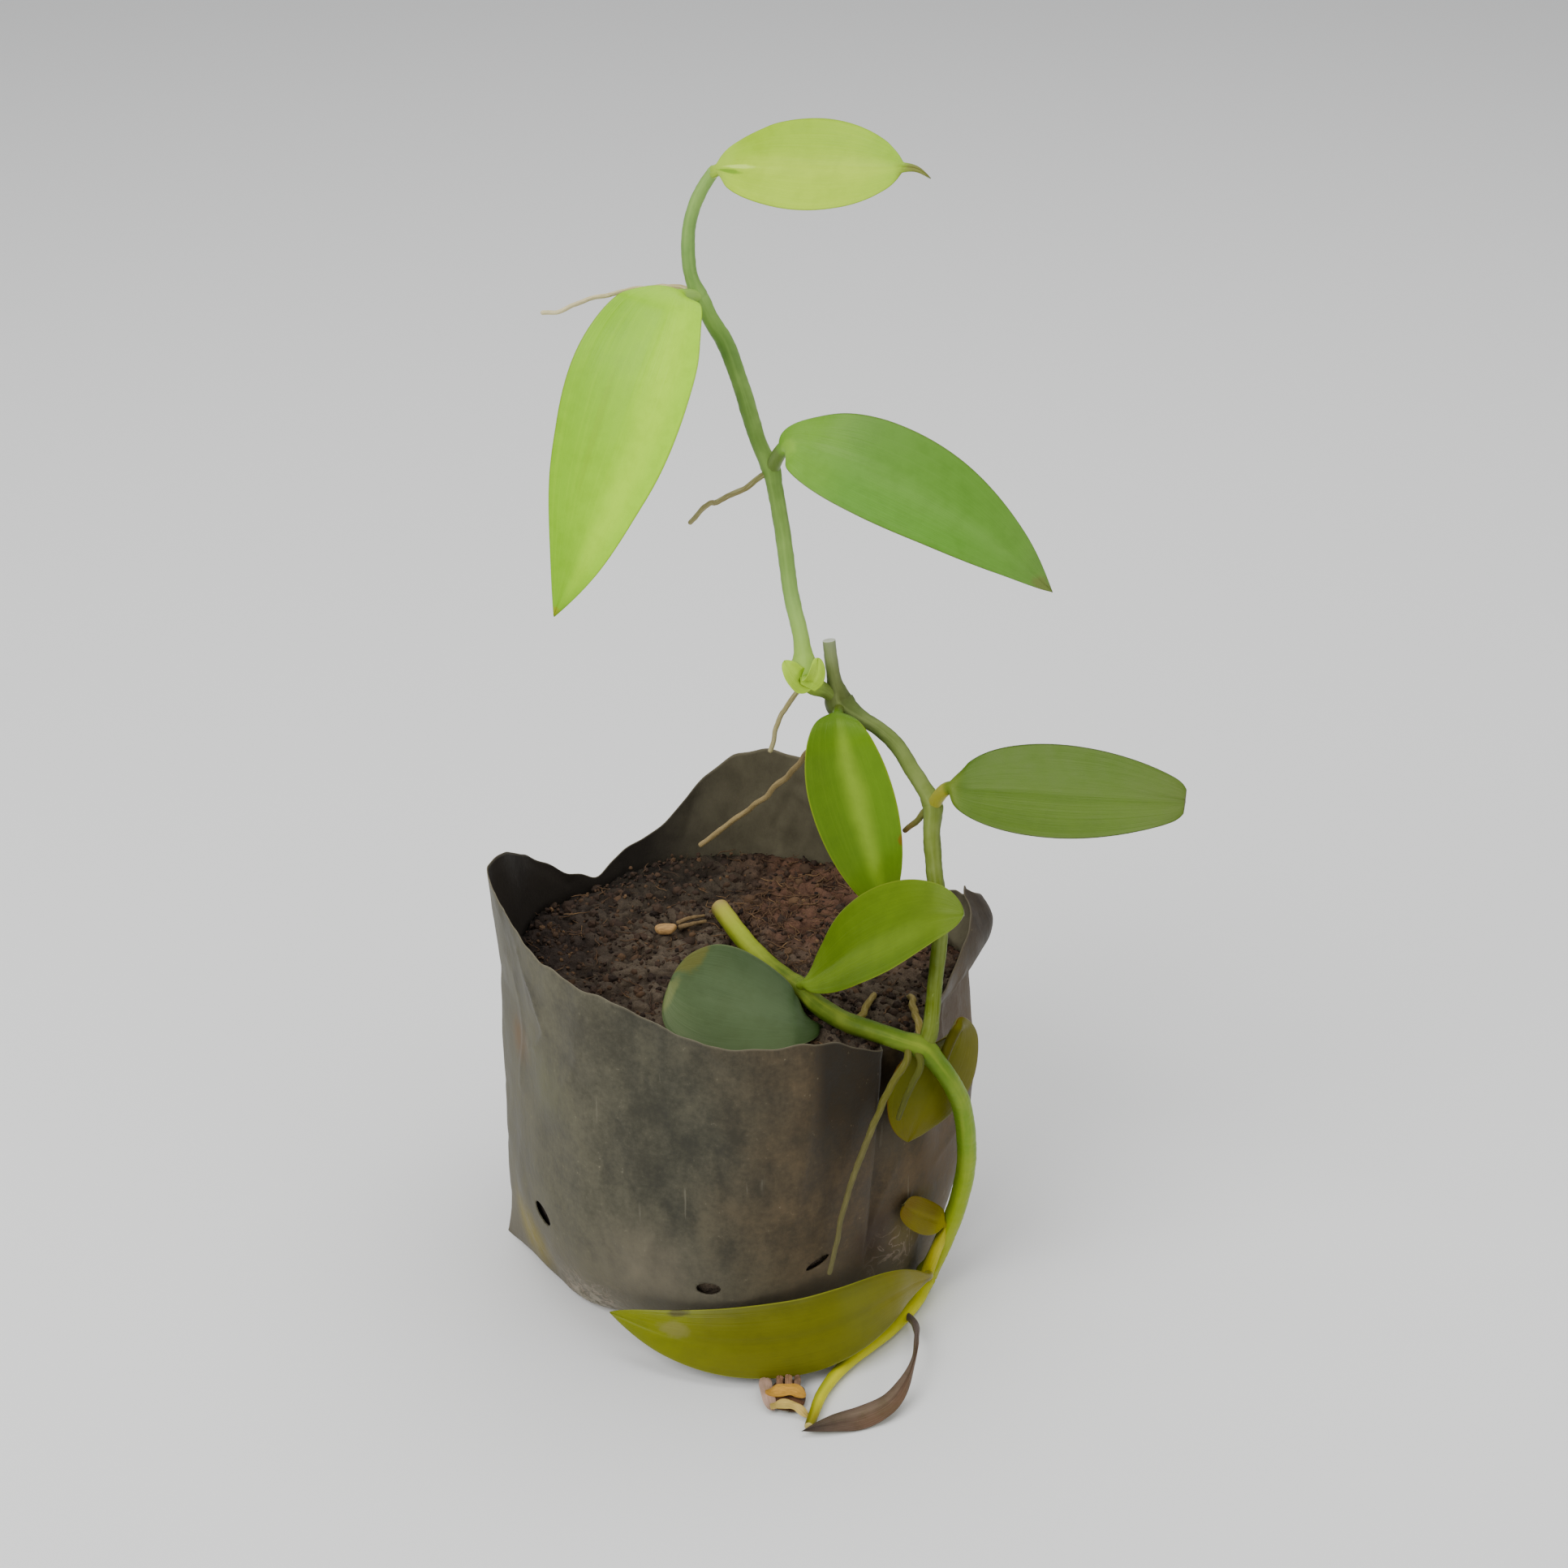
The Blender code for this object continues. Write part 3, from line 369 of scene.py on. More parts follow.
def output_of(kind, *values, out=0, **settings):
    """An output of a node that takes up values."""
    return Value(add(tree_of(*values), kind, *values, **settings).outputs[out])


def reckoned(operation, *values):
    """The result of one Math node."""
    return output_of("Math", *values, operation=operation)


def band(tree, name, kind="Fac"):
    """A band that is stored on a mesh's points, as a value or a vector."""
    return Value(add(tree, "Attribute", attribute_name=name).outputs[kind])


def object_place(tree):
    """The place on the object, in metres."""
    return Value(add(tree, "TexCoord").outputs["Object"])


def axes_of(where):
    """The three coordinates of a place."""
    return [Value(axis) for axis in add(tree_of(where), "SeparateXYZ", where).outputs]


def step(value, low, high):
    """A smooth step from 0 at low to 1 at high."""
    return output_of("MapRange", value, low, high, interpolation_type="SMOOTHSTEP")


def mixed(share, first, second, blend="MIX"):
    """Two colours mixed by a share."""
    made = add(tree_of(share, first, second), "Mix", share, data_type="RGBA", blend_type=blend)
    fill(made.inputs[6], first)
    fill(made.inputs[7], second)
    return Value(made.outputs[2])


def tinted(share, base, tint):
    """A colour multiplied by a tint where a share is 1."""
    return mixed(share, base, mixed(1, base, (*tint, 1), "MULTIPLY"))


def noise(where, scale, detail=3, rough=0.55, warp=0):
    """Fractal noise from 0 to 1 at a place, scale in cells a metre."""
    made = add(tree_of(where), "TexNoise", where)
    for key, value in (("Scale", scale), ("Detail", detail), ("Roughness", rough), ("Distortion", warp)):
        made.inputs[key].default_value = value
    return Value(made.outputs["Fac"])


def stretched(where, scale):
    """A place times a scale along each axis."""
    return output_of("VectorMath", where, scale, operation="MULTIPLY")


def near(where, centre, reach):
    """A mask that is 1 at a centre in millimetres and fades to 0 at its reach."""
    centre = tuple(c * MM for c in centre)
    return step(output_of("VectorMath", where, centre, out="Value", operation="DISTANCE"), reach * MM, 0)


def dress(shader, colour, height, depth, strength=1, dull=None):
    """Link a colour, and a roughness where one is given, and raise the surface by a height of
    0..1, as relief of that depth in millimetres."""
    fill(shader.inputs["Base Color"], colour)
    if dull:
        fill(shader.inputs["Roughness"], dull)
    bump = add(shader.id_data, "Bump", strength, depth * MM)
    fill(bump.inputs["Height"], height)
    fill(shader.inputs["Normal"], Value(bump.outputs["Normal"]))


# The film's look: dust, paler at the left and darker from the front on, painted light and shade,
# browner to the right, partly painted shade, and paler at the foot. Round named places lie stains,
# paler and darker patches, painted reflections of the leaves and painted shade in the pleat's fold. A
# painted shadow lies under the bend of the vine, then come scuffs and pale wrinkle lines at two
# corners: wear at the left foot and painted highlights on the crinkled film at the front right. The
# inside is black film, darkest at its left, partly painted shade, and paler at its right. A painted
# highlight runs along the lip.
film, tree, shader = new_finish("dusty_film", 0.6, 0.22, (1, 0.97, 0.86))
place = object_place(tree)
x, y, z = axes_of(place)
clouds = noise(place, 32, 4, 0.6)
mottle = noise(stretched(place, (1, 1, 0.55)), 130, 5, 0.62)
grain = noise(place, 620, 3, 0.7)
dust = step(clouds * 0.3 + mottle * 0.45 + grain * 0.25, 0.36, 0.66)
# Across the wall: paler at the left and darker from the front on, painted light and shade, then browner to
# the right, partly the film's own colour and partly painted shade.
round_side = (clouds - 0.5) * 0.03 + x
outer = mixed(step(round_side, -0.046, -0.012), mixed(dust, (62, 59, 47), (95, 92, 75)),
              mixed(dust, (48, 47, 38), (83, 80, 65)))
outer = mixed(step(round_side, -0.012, 0.034), outer, mixed(dust, (52, 42, 27), (87, 71, 49)))
outer = mixed(step(z, 0.042, 0.006) * 0.55, outer, (102, 95, 78))
# Patches round named places, each a colour, centre, reach and weight: a rust-brown stain high at the left;
# painted reflections of the leaves, greenish high at the left, green-yellow low at the left and yellow low at
# the front right beside the vine; painted shade in the pleat's fold low at the front right; and paler and
# darker patches.
for colour, centre, reach, weight in (
        ((106, 78, 50), (-52.4, -22.2, 79.7), 10, 0.5), ((88, 88, 62), (-45, -38, 76), 17, 0.4),
        ((116, 104, 34), (-52.5, -19.5, 15), 16, 1), ((100, 80, 58), (60, -26, 48), 20, 0.3),
        ((42, 27, 18), (41.5, -44, 31), 15, 0.9), ((114, 106, 88), (-18, -57, 30), 24, 0.5),
        ((56, 54, 46), (-58, -22, 114), 17, 0.7), ((44, 36, 28), (67, -4, 104), 24, 1),
        ((66, 50, 32), (62, -14, 84), 22, 0.9), ((116, 104, 84), (28, -50, 14), 20, 0.3),
        ((112, 98, 10), (56, -35.5, 29), 13, 0.8), ((58, 50, 32), (50, -42, 66), 18, 0.9)):
    outer = mixed(near(place, centre, reach) * (mottle * (2 * weight)), outer, colour)
shadow = step(x, 0.0225, 0.0290) * step(x, 0.046, 0.0415) * step(y, 0, -0.02)
outer = tinted(shadow * step(z, 0.050, 0.082), outer, (0.2, 0.17, 0.08))
scuffs = step(noise(stretched(place, (1, 1, 0.07)), 640, 2, 0.5), 0.67, 0.76)
scuffs = scuffs * step(noise(place, 70, 2, 0.5), 0.56, 0.68)
outer = mixed(scuffs * 0.24, outer, (140, 134, 116))
outer = mixed(step(grain, 0.66, 0.8) * 0.35, outer, (146, 138, 116))
# Pale wrinkle lines at two corners: wear on the crumbly film at the left foot, and painted highlights on the
# crinkled film at the front right.
wrinkle = step(abs(noise(place, 150, 3, 0.5, 1.2) - 0.5), 0.035, 0)
worn_and_glinting = reckoned("MAXIMUM", near(place, (-33, -39, 6), 20), near(place, (47, -36, 21), 15))
outer = mixed(wrinkle * worn_and_glinting * 0.5, outer, (158, 140, 124))
crumbly = near(place, (-33, -37, 1), 19) * step(noise(place, 360, 3, 0.7), 0.42, 0.58)
outer = mixed(crumbly * 0.7, outer, (158, 150, 134))
# The inside is black film, darkest at its left, partly painted shade, and paler at its right.
inner_dark = mixed(clouds, (24, 21, 20), (58, 52, 46))
inner_pale = mixed(mottle, (58, 52, 40), (116, 110, 88))
inner = mixed(step(step(x, -0.05, 0.03) + clouds * 0.5, 0.45, 1.1), inner_dark, inner_pale)
inside = band(tree, "inside")
# A paler band along the lip is a painted highlight on the film's cut edge.
film_colour = mixed(band(tree, "lip") * 0.55, mixed(inside, outer, inner), (128, 120, 100))
relief = mottle * 0.8 + grain * 0.12 + wrinkle * worn_and_glinting * 0.2
dress(shader, film_colour, relief, 0.55, 0.8, dull=dust * 0.22 + (inside * 0.22 + 0.46))

# The bag's rings: four across the sole, the outer wall up to the waved rim, the lip, and the inner
# wall down again, closer together near the sole.
azimuth = np.linspace(0, 360, 432, endpoint=False)
rim = round_value(RIM_HEIGHTS, azimuth) + 3 * bell(azimuth, 357, 1.8)
around = np.stack([np.cos(np.radians(azimuth)), np.sin(np.radians(azimuth))], axis=-1)
rim = rim + 0.35 * ripple(around * BAG_HALF_WIDTH, 9, 21)
low = np.concatenate([np.linspace(0, 8, 14), np.linspace(9, EVEN_ROWS_TOP, 66)])[:, None] + 0 * azimuth
high = EVEN_ROWS_TOP + (rim - EVEN_ROWS_TOP) * np.linspace(0, 1, 44)[1:, None]
outer_levels = np.vstack([low, high])
inner_levels = np.vstack([high[::-1], EVEN_ROWS_TOP * np.linspace(1, 0.02, 12)[:, None] + 0 * azimuth])
outer_wall = film_point(np.broadcast_to(azimuth, outer_levels.shape), outer_levels, 0)
inner_wall = film_point(np.broadcast_to(azimuth, inner_levels.shape), inner_levels, FILM_THICKNESS)
sole = outer_wall[0] * np.array((0.05, 0.35, 0.7, 0.95))[:, None, None]
lip = (outer_wall[-1] + inner_wall[0]) / 2 + (0, 0, FILM_THICKNESS / 3)
bag_grid = np.concatenate([sole, outer_wall, lip[None], inner_wall])
lip_row = len(sole) + len(outer_wall)
inside_band = np.zeros(bag_grid.shape[:2])
inside_band[lip_row + 1:] = 1
# The lip's rows carry the painted highlight on the film's cut edge.
lip_highlight_band = np.zeros(bag_grid.shape[:2])
lip_highlight_band[lip_row - 1:lip_row + 2] = ((0.5,), (1,), (0.5,))
bag = closed_body("bag_film", bag_grid, film, "film", inside=inside_band, lip=lip_highlight_band)


def punch(target, rods, sides=14):
    """Take oval rods through the wall out of a target, as one Boolean, and apply it."""
    turn = np.linspace(0, 2 * np.pi, sides, endpoint=False)
    points = []
    faces = []
    for number, (rod_azimuth, level, long_half, short_half, tilt) in enumerate(rods):
        angle = math.radians(rod_azimuth)
        centre = film_point(np.array(rod_azimuth, float), np.array(level, float), 0)
        out = np.array((math.cos(angle), math.sin(angle), 0))
        side = np.array((-out[1], out[0], 0))
        up = np.array((0, 0, 1))
        long = side * math.cos(tilt) + up * math.sin(tilt)
        short = up * math.cos(tilt) - side * math.sin(tilt)
        ring = long_half * np.outer(np.cos(turn), long) + short_half * np.outer(np.sin(turn), short)
        points += [centre - 2.2 * out + ring, centre + 2.5 * out + ring]
        at = 2 * sides * number
        for k in range(sides):
            after = (k + 1) % sides
            faces.append([at + k, at + after, at + sides + after, at + sides + k])
        faces += [list(range(at, at + sides))[::-1], list(range(at + sides, at + 2 * sides))]
    mesh = bpy.data.meshes.new("rods")
    mesh.from_pydata(np.vstack(points) * MM, [], faces)
    rod = object_of("rods", mesh)
    cut = target.modifiers.new("holes", "BOOLEAN")
    cut.operation = "DIFFERENCE"
    cut.solver = "MANIFOLD"
    cut.object = rod
    bpy.context.view_layer.update()
    cleared = bpy.data.meshes.new_from_object(target.evaluated_get(bpy.context.evaluated_depsgraph_get()))
    target.modifiers.clear()
    target.data = cleared
    bpy.data.objects.remove(rod)


punch(bag, [(side * turn, level, long_half, short_half, tilt * side) for side in (1, -1)
            for turn, level, long_half, short_half, tilt in DRAIN_HOLES])
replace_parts(bag, "grow_bag")


# The soil: damp coco and leaf mould compost, dark and crumbly, a little lower along the film.
# Reddish coco fibre lies loose at the back right, with crumbs and lumps all over.
SOIL_EDGE = 88.6


def heap(x, y):
    """Height of the soil without its lumps: a gentle heap of two sine products."""
    return 0.9 * np.sin(x / 11 + 1.3) * np.cos(y / 13 + 0.4) + 0.4 * np.sin((x - y) / 14)


def soil_top(x, y):
    """Height of the soil: the heap with the clods on it, and a bell shaped dip under the low
    part of the film at the back left."""
    dip = 2.6 * np.exp(-((x + 41) ** 2 + (y - 43) ** 2) / 15 ** 2)
    return 90.6 + heap(x, y) + clods(x, y) - dip


def clods(x, y):
    """Lumps of 7, 3.2 and 1.6 mm with sharp gaps between them: each is the size |r| of a ripple, as
    |r| / (0.8 + |r|), which falls steeply to 0 along the gaps and is nearly flat on the lumps."""
    flat = np.stack([x, y], axis=-1)
    total = 0.5 * ripple(flat, 11, 31) - 1.85
    for length, height, seed in ((7, 1.9, 32), (3.2, 0.8, 34), (1.6, 0.4, 33)):
        size = np.abs(ripple(flat, length, seed))
        total = total + height * size / (0.8 + size)
    return total


compost, tree, shader = new_finish("compost", 0.95, 0.25)
place = object_place(tree)
grain = noise(place, 420, 4, 0.65)
patch = noise(place, 55, 3, 0.6)
x, y, _ = axes_of(place)
coco = step(step(x, -0.01, 0.03) + step(y, -0.02, 0.03) + patch, 1.5, 2.3)
dark = mixed(grain, (30, 25, 20), (113, 98, 80))
red = mixed(grain, (46, 33, 26), (120, 85, 64))
# Painted shade: darker in the gaps between the clods, along the film's left wall and under the film at the
# back.
ground = tinted(step(band(tree, "clod"), -0.35, -1.25), mixed(coco, dark, red), (0.5, 0.46, 0.42))
ground = tinted(step((patch - 0.5) * 0.03 + x, -0.018, -0.050), ground, (0.32, 0.29, 0.33))
ground = tinted(near(place, (-20, 52, 91), 46), ground, (0.20, 0.19, 0.16))
dress(shader, ground, grain + noise(place, 1300, 3, 0.6), 0.9)

# The soil's rings: seven inside the film, and 85 from the film in to the middle at the height of the
# soil, less 1.7 . exp(-(distance from the film / 3)^2).
SOIL_COLUMNS = 480
turn = np.linspace(0, 360, SOIL_COLUMNS, endpoint=False)
edge = film_point(turn, np.full_like(turn, SOIL_EDGE), FILM_THICKNESS + 0.05)
middle = np.array((BAG_LEAN, 0))
share = np.linspace(1, 0, 86)[:-1, None]
flat = middle + (edge[:, :2] - middle)[None] * share[..., None]
fall = 1.7 * np.exp(-((1 - share) * BAG_HALF_WIDTH / 3) ** 2)
top = np.concatenate([flat, (soil_top(flat[..., 0], flat[..., 1]) - fall)[..., None]], axis=-1)
under = [film_point(turn, np.full_like(turn, level), 1.6)
         for level in (2, 12, 30, 55, 76, 84, 87)]
lumps = np.concatenate([np.zeros((len(under), SOIL_COLUMNS)), clods(flat[..., 0], flat[..., 1]) - 0.5 * fall])
soil = closed_body("soil_bed", np.concatenate([np.array(under), top]), compost, "compost", clod=lumps)
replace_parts(soil, "soil")


def scattered(name, shape, faces, places, sizes, turns, tone):
    """Many copies of one small shape in one mesh: point = place + turn matrix . (size . shape)."""
    points = places[:, None] + np.einsum("nij,nvj->nvi", turns, sizes[:, None] * shape)
    count = shape.shape[-2]
    tiled = np.asarray(faces)[None] + count * np.arange(len(places))[:, None, None]
    return piece(name, points.reshape(-1, 3) * MM, tiled.reshape(-1, np.shape(faces)[1]).tolist(), litter,
                 "compost", tone=np.repeat(tone, count)[:, None])


def random_turns(seeded, count, tilt):
    """Turn matrices from a seeded heading and a tilt off the vertical, columns unit and square."""
    normal = unit(np.column_stack([seeded.normal(0, tilt, (count, 2)), np.ones(count)]))
    heading = seeded.normal(size=(count, 3))
    side = unit(heading - np.sum(heading * normal, axis=1, keepdims=True) * normal)
    return np.stack([side, np.cross(normal, side), normal], axis=-1)


def spread_on_soil(seeded, count, lift):
    """Seeded places on the soil inside the film, at an even density, lifted off its surface."""
    angle = seeded.uniform(0, 360, count)
    reach = (film_radius(angle, np.full(count, SOIL_EDGE)) - 2.2) * np.sqrt(seeded.uniform(0, 1, count))
    x = BAG_LEAN + reach * np.cos(np.radians(angle))
    y = reach * np.sin(np.radians(angle))
    return np.column_stack([x, y, soil_top(x, y) + lift])


def banded(tree, name, stops):
    """A colour ramp over a stored band, through stops of share and screen colour."""
    made = add(tree, "ValToRGB", band(tree, name))
    ramp_stops = made.color_ramp.elements
    while len(ramp_stops) < len(stops):
        ramp_stops.new(0.5)
    for stop, (at, *colour) in zip(ramp_stops, stops):
        stop.position = at
        stop.color = paint(*colour)
    return Value(made.outputs["Color"])


litter, tree, shader = new_finish("litter", 0.9, 0.25)
tones = banded(tree, "tone", ((0, 40, 31, 25), (0.3, 72, 57, 46), (0.6, 108, 84, 60), (1, 160, 130, 92)))
grain = noise(object_place(tree), 900, 3, 0.6)
dress(shader, mixed(0.5, tones, mixed(grain, (30, 24, 20), (160, 140, 120)), "OVERLAY"), grain, 0.3)

seeded = np.random.default_rng(41)
# A twenty sided body by its corners and faces.
golden = (1 + 5 ** 0.5) / 2
lump = unit(np.array([(-1, golden, 0), (1, golden, 0), (-1, -golden, 0), (1, -golden, 0), (0, -1, golden),
                      (0, 1, golden), (0, -1, -golden), (0, 1, -golden), (golden, 0, -1), (golden, 0, 1),
                      (-golden, 0, -1), (-golden, 0, 1)], float))
LUMP_FACES = ((0, 11, 5), (0, 5, 1), (0, 1, 7), (0, 7, 10), (0, 10, 11), (1, 5, 9), (5, 11, 4), (11, 10, 2),
              (10, 7, 6), (7, 1, 8), (3, 9, 4), (3, 4, 2), (3, 2, 6), (3, 6, 8), (3, 8, 9), (4, 9, 5),
              (2, 4, 11), (6, 2, 10), (8, 6, 7), (9, 8, 1))


def crumbled(name, count, size, flat, least, lift, most, tone):
    """Seeded lumps: a twenty sided body with its corners pushed in and out, in log normal sizes of
    that mean and spread, flattened by a range of shares and cut off at the most."""
    sizes = np.exp(seeded.normal(*size, count))[:, None] * seeded.uniform(*flat, (count, 3))
    shapes = lump[None] * seeded.uniform(least, 1.2, (count, 12, 1))
    mean, spread, darkest, palest = tone
    places = spread_on_soil(seeded, count, lift)
    turns = random_turns(seeded, count, 1.5)
    tones = np.clip(seeded.normal(mean, spread, count), darkest, palest)
    return scattered(name, shapes, LUMP_FACES, places, np.minimum(sizes, most), turns, tones)


crumbs = crumbled("soil_crumbs", 2600, (-0.55, 0.45), (0.5, 1.2), 0.75, 0.1, 1.7, (0.28, 0.16, 0, 0.75))
crumbs.data.shade_flat()
crumbled("soil_lumps", 260, (0.35, 0.3), (0.6, 1.1), 0.8, -0.5, 2.6, (0.3, 0.12, 0.05, 0.6))

# A coco fibre: a square tube round a line s from -1 to 1, bent aside by a seeded share of s^2, with
# the half thickness thick . sqrt(1.02 - s^2), all times its length. Most lie at the back right.
knots = 9
strip = np.linspace(-1, 1, knots)
count = 620
bend = seeded.normal(0, 0.22, (count, 1))
core = np.stack([strip + 0 * bend, bend * strip ** 2 + 0.08 * np.sin(strip * 5 + 9 * bend),
                 0.10 * strip ** 2 + 0 * bend], axis=-1)
square = np.array(((0, 1, 0), (0, 0, 1), (0, -1, 0), (0, 0, -1)), float)
length = np.exp(seeded.normal(1, 0.45, count))
thick = seeded.uniform(0.07, 0.2, count)
half = thick[:, None] * np.sqrt(1.02 - strip ** 2)[None]
fibre = core[:, :, None] * length[:, None, None, None] + square * half[..., None, None]
row, column = np.mgrid[:knots - 1, :4]
a = (row * 4 + column).ravel()
b = (row * 4 + (column + 1) % 4).ravel()
fibre_places = spread_on_soil(seeded, count, 0.35)
lean_back = seeded.uniform(0, 1, count) < 0.62
fibre_places[lean_back, :2] = (fibre_places[lean_back, :2] - (4, 0)) * 0.42 + (24, 22)
fibre_places[:, 2] = soil_top(fibre_places[:, 0], fibre_places[:, 1]) + 0.35
turns = random_turns(seeded, count, 0.16)
tones = np.clip(seeded.normal(0.55, 0.13, count), 0.1, 0.85)
scattered("coco_fibres", fibre.reshape(count, 4 * knots, 3), np.stack([a, b, b + 4, a + 4], axis=1),
          fibre_places, np.ones((count, 3)), turns, tones)


# The chip of wood and the two strands of bark that lie on the soil behind the leaf. The chip is an
# ellipsoid, made blocky by powers of its cos and sin, and the strands are thin bent sticks.
chip_wood, tree, shader = new_finish("chip_wood", 0.8)
grain = noise(stretched(object_place(tree), (0.3, 1, 1)), 1500, 3, 0.6)
dress(shader, mixed(grain, (96, 66, 34), (206, 162, 98)), grain, 0.3)
turn = np.linspace(0, 2 * np.pi, 40, endpoint=False)
tilt = np.linspace(-np.pi / 2 + 0.05, np.pi / 2 - 0.05, 20)[:, None]
blocky = [np.sign(wave) * np.abs(wave) ** 0.85 for wave in (np.cos(turn), np.sin(turn))]
swell = np.cos(tilt) ** 0.35
chip_grid = np.stack([-14.7 + 2.9 * swell * blocky[0] * (1 + 0.12 * np.sin(3 * turn)),
                      13.7 + 2 * swell * blocky[1] * (1 + 0.15 * np.cos(2 * turn + 1)),
                      92.1 + 1.1 * np.sin(tilt) + 0.25 * np.cos(turn) + 0 * turn], axis=-1)
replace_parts(closed_body("wood_chip", chip_grid, chip_wood, "chip"), "soil_chip")


def along_route(points, count):
    """Points at even steps along a Catmull-Rom curve: each span is a cubic in t through two
    knots, with half the distance between the neighbours as the slope at each."""
    p = np.asarray(points, float)
    p = np.vstack([2 * p[0] - p[1], p, 2 * p[-1] - p[-2]])
    t = np.linspace(0, 1, 24, endpoint=False)[:, None, None]
    a, b, c, d = p[:-3], p[1:-2], p[2:-1], p[3:]
    curve = 2 * b + (c - a) * t + (2 * a - 5 * b + 4 * c - d) * t ** 2 + (3 * b - a - 3 * c + d) * t ** 3
    curve = 0.5 * curve
    curve = np.vstack([curve.transpose(1, 0, 2).reshape(-1, 3), p[-2:-1]])
    run = run_of(curve)
    even = np.linspace(0, run[-1], count)
    return np.stack([np.interp(even, run, curve[:, k]) for k in range(3)], axis=1)


def run_of(path):
    """Distance along a path to each of its points."""
    return np.concatenate([[0], np.cumsum(np.linalg.norm(np.diff(path, axis=0), axis=1))])


def stalk(name, path, radius, hint, around, ends, finish, body_slot, rough=0, seed=0):
    """A round body along a path: point = path + r (cos a . side + sin a . up), where side is the
    path's heading cross a hint. Past both ends the radius falls with cos b while the path goes
    on by end . r . sin b, and rough is the share by which a ripple changes the radius."""
    b = np.radians((20, 42, 62, 78, 88))
    caps = len(b)
    head, tail = unit(path[0] - path[1]), unit(path[-1] - path[-2])
    path = np.vstack([path[0] + np.outer(np.sin(b)[::-1] * ends[0] * radius[0], head), path,
                      path[-1] + np.outer(np.sin(b) * ends[1] * radius[-1], tail)])
    radius = np.concatenate([radius[0] * np.cos(b)[::-1], radius, radius[-1] * np.cos(b)])
    run = run_of(path)
    ahead = unit(np.gradient(path, axis=0))
    side = unit(np.cross(ahead, hint))
    up = np.cross(side, ahead)
    a = np.linspace(0, 2 * np.pi, around, endpoint=False)[None, :, None]
    out = side[:, None] * np.cos(a) + up[:, None] * np.sin(a)
    skin = np.concatenate([3 * np.cos(a) + 0 * run[:, None, None], 3 * np.sin(a) + 0 * run[:, None, None],
                           0 * a + run[:, None, None]], axis=-1)
    bumps = ripple(skin * (1, 1, 0.7), 5, seed) + 0.6 * ripple(skin, 2, seed + 1)
    grid = path[:, None] + out * (radius[:, None] * (1 + rough * bumps))[..., None]
    share = np.broadcast_to((run / run[-1])[:, None], grid.shape[:2])
    cap = np.repeat((1, 0, 2), (caps, len(run) - 2 * caps, caps))[:, None] + 0 * share
    return closed_body(name, grid, finish, body_slot, skin=skin * MM, along=share, cap=cap)


bark, tree, shader = new_finish("bark_strand", 0.9)
grain = noise(object_place(tree), 900, 3, 0.6)
fill(shader.inputs["Base Color"], mixed(grain, (57, 43, 25), (139, 113, 72)))
STRANDS = (((-11, 16.2), (-7.6, 18.4), (-3.8, 20.2)), ((-11.4, 18.8), (-8, 21.8), (-4.4, 23.4)))
for number, route in enumerate(STRANDS, 1):
    path = along_route([(x, y, 0) for x, y in route], 40)
    path[:, 2] = 91.4 + heap(path[:, 0], path[:, 1])
    radius = np.linspace(0.7, 0.45, len(path))
    strand = stalk(f"bark_strand_{number}", path, radius, (0, 0, 1), 12, (0.6, 0.6), bark, "strand",
                   0.16, number)
    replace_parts(strand, f"soil_strand_{number}")


# The old vine: a fleshy round stem, cut off square on the soil, over the rim at the front right,
# down the bag's side and out along the floor, where it turns thin and yellow. It thickens a
# little at each node, and a fine scar runs round it there.
def group(name, outputs, **inputs):
    """A shader node group with named outputs, and inputs that are colours or numbers as their
    values are."""
    made = bpy.data.node_groups.new(name, "ShaderNodeTree")
    for key, value in inputs.items():
        kind = "Color" if isinstance(value, tuple) else "Float"
        socket = made.interface.new_socket(name=key, in_out="INPUT", socket_type="NodeSocket" + kind)
        socket.default_value = value
    for key in outputs:
        kind = "Color" if key == "Colour" else "Float"
        made.interface.new_socket(name=key, in_out="OUTPUT", socket_type="NodeSocket" + kind)
    given = made.nodes.new("NodeGroupInput").outputs
    return made, [Value(given[key]) for key in inputs], made.nodes.new("NodeGroupOutput").inputs


def placed(tree, group_tree, **values):
    """A group in a material, with its inputs set or linked by name."""
    made = tree.nodes.new("ShaderNodeGroup")
    made.node_tree = group_tree
    for key, value in values.items():
        fill(made.inputs[key], value)
    return {key: Value(socket) for key, socket in made.outputs.items()}


# A stem's skin: paler patches, grooves along it and freckles over its own colours, painted shade on
# the side away from the front, and a cut end of its own colour.
FRONT = (0.03, -0.88, 0.47)
PLAIN_GREEN = (0.2, 0.3, 0.05, 1)
SURFACE = ("Colour", "Height", "Roughness")
stem_skin, given, out = group("stem_skin", SURFACE, Colour=PLAIN_GREEN, Pale=PLAIN_GREEN, Cut=PLAIN_GREEN,
                              Shade=0.5, Side=0)
own, pale, cut, shade, side = given
skin = band(stem_skin, "skin", "Vector")
grooves = noise(stretched(skin, (1, 1, 0.06)), 520, 3, 0.55)
freckles = noise(skin, 800, 2, 0.6)
made = mixed(step(noise(skin, 120, 3, 0.55), 0.3, 0.8), own, mixed(0.35, own, pale))
made = mixed(step(grooves, 0.45, 0.75) * 0.3, made, pale)
made = mixed(step(freckles, 0.68, 0.8) * 0.35, made, pale)
x, y, _ = axes_of(skin)
# Painted shade on the side away from the front, tipped towards one flank by Side, so the vine is darker where
# it lies against the bag.
made = tinted(step(x * side + y, 0.0028, 0) * shade, made, (0.42, 0.48, 0.28))
fill(out["Colour"], mixed(step(band(stem_skin, "cap"), 0.3, 0.7), made, cut))
fill(out["Height"], grooves + freckles * 0.4)
fill(out["Roughness"], grooves * 0.25 + 0.33)


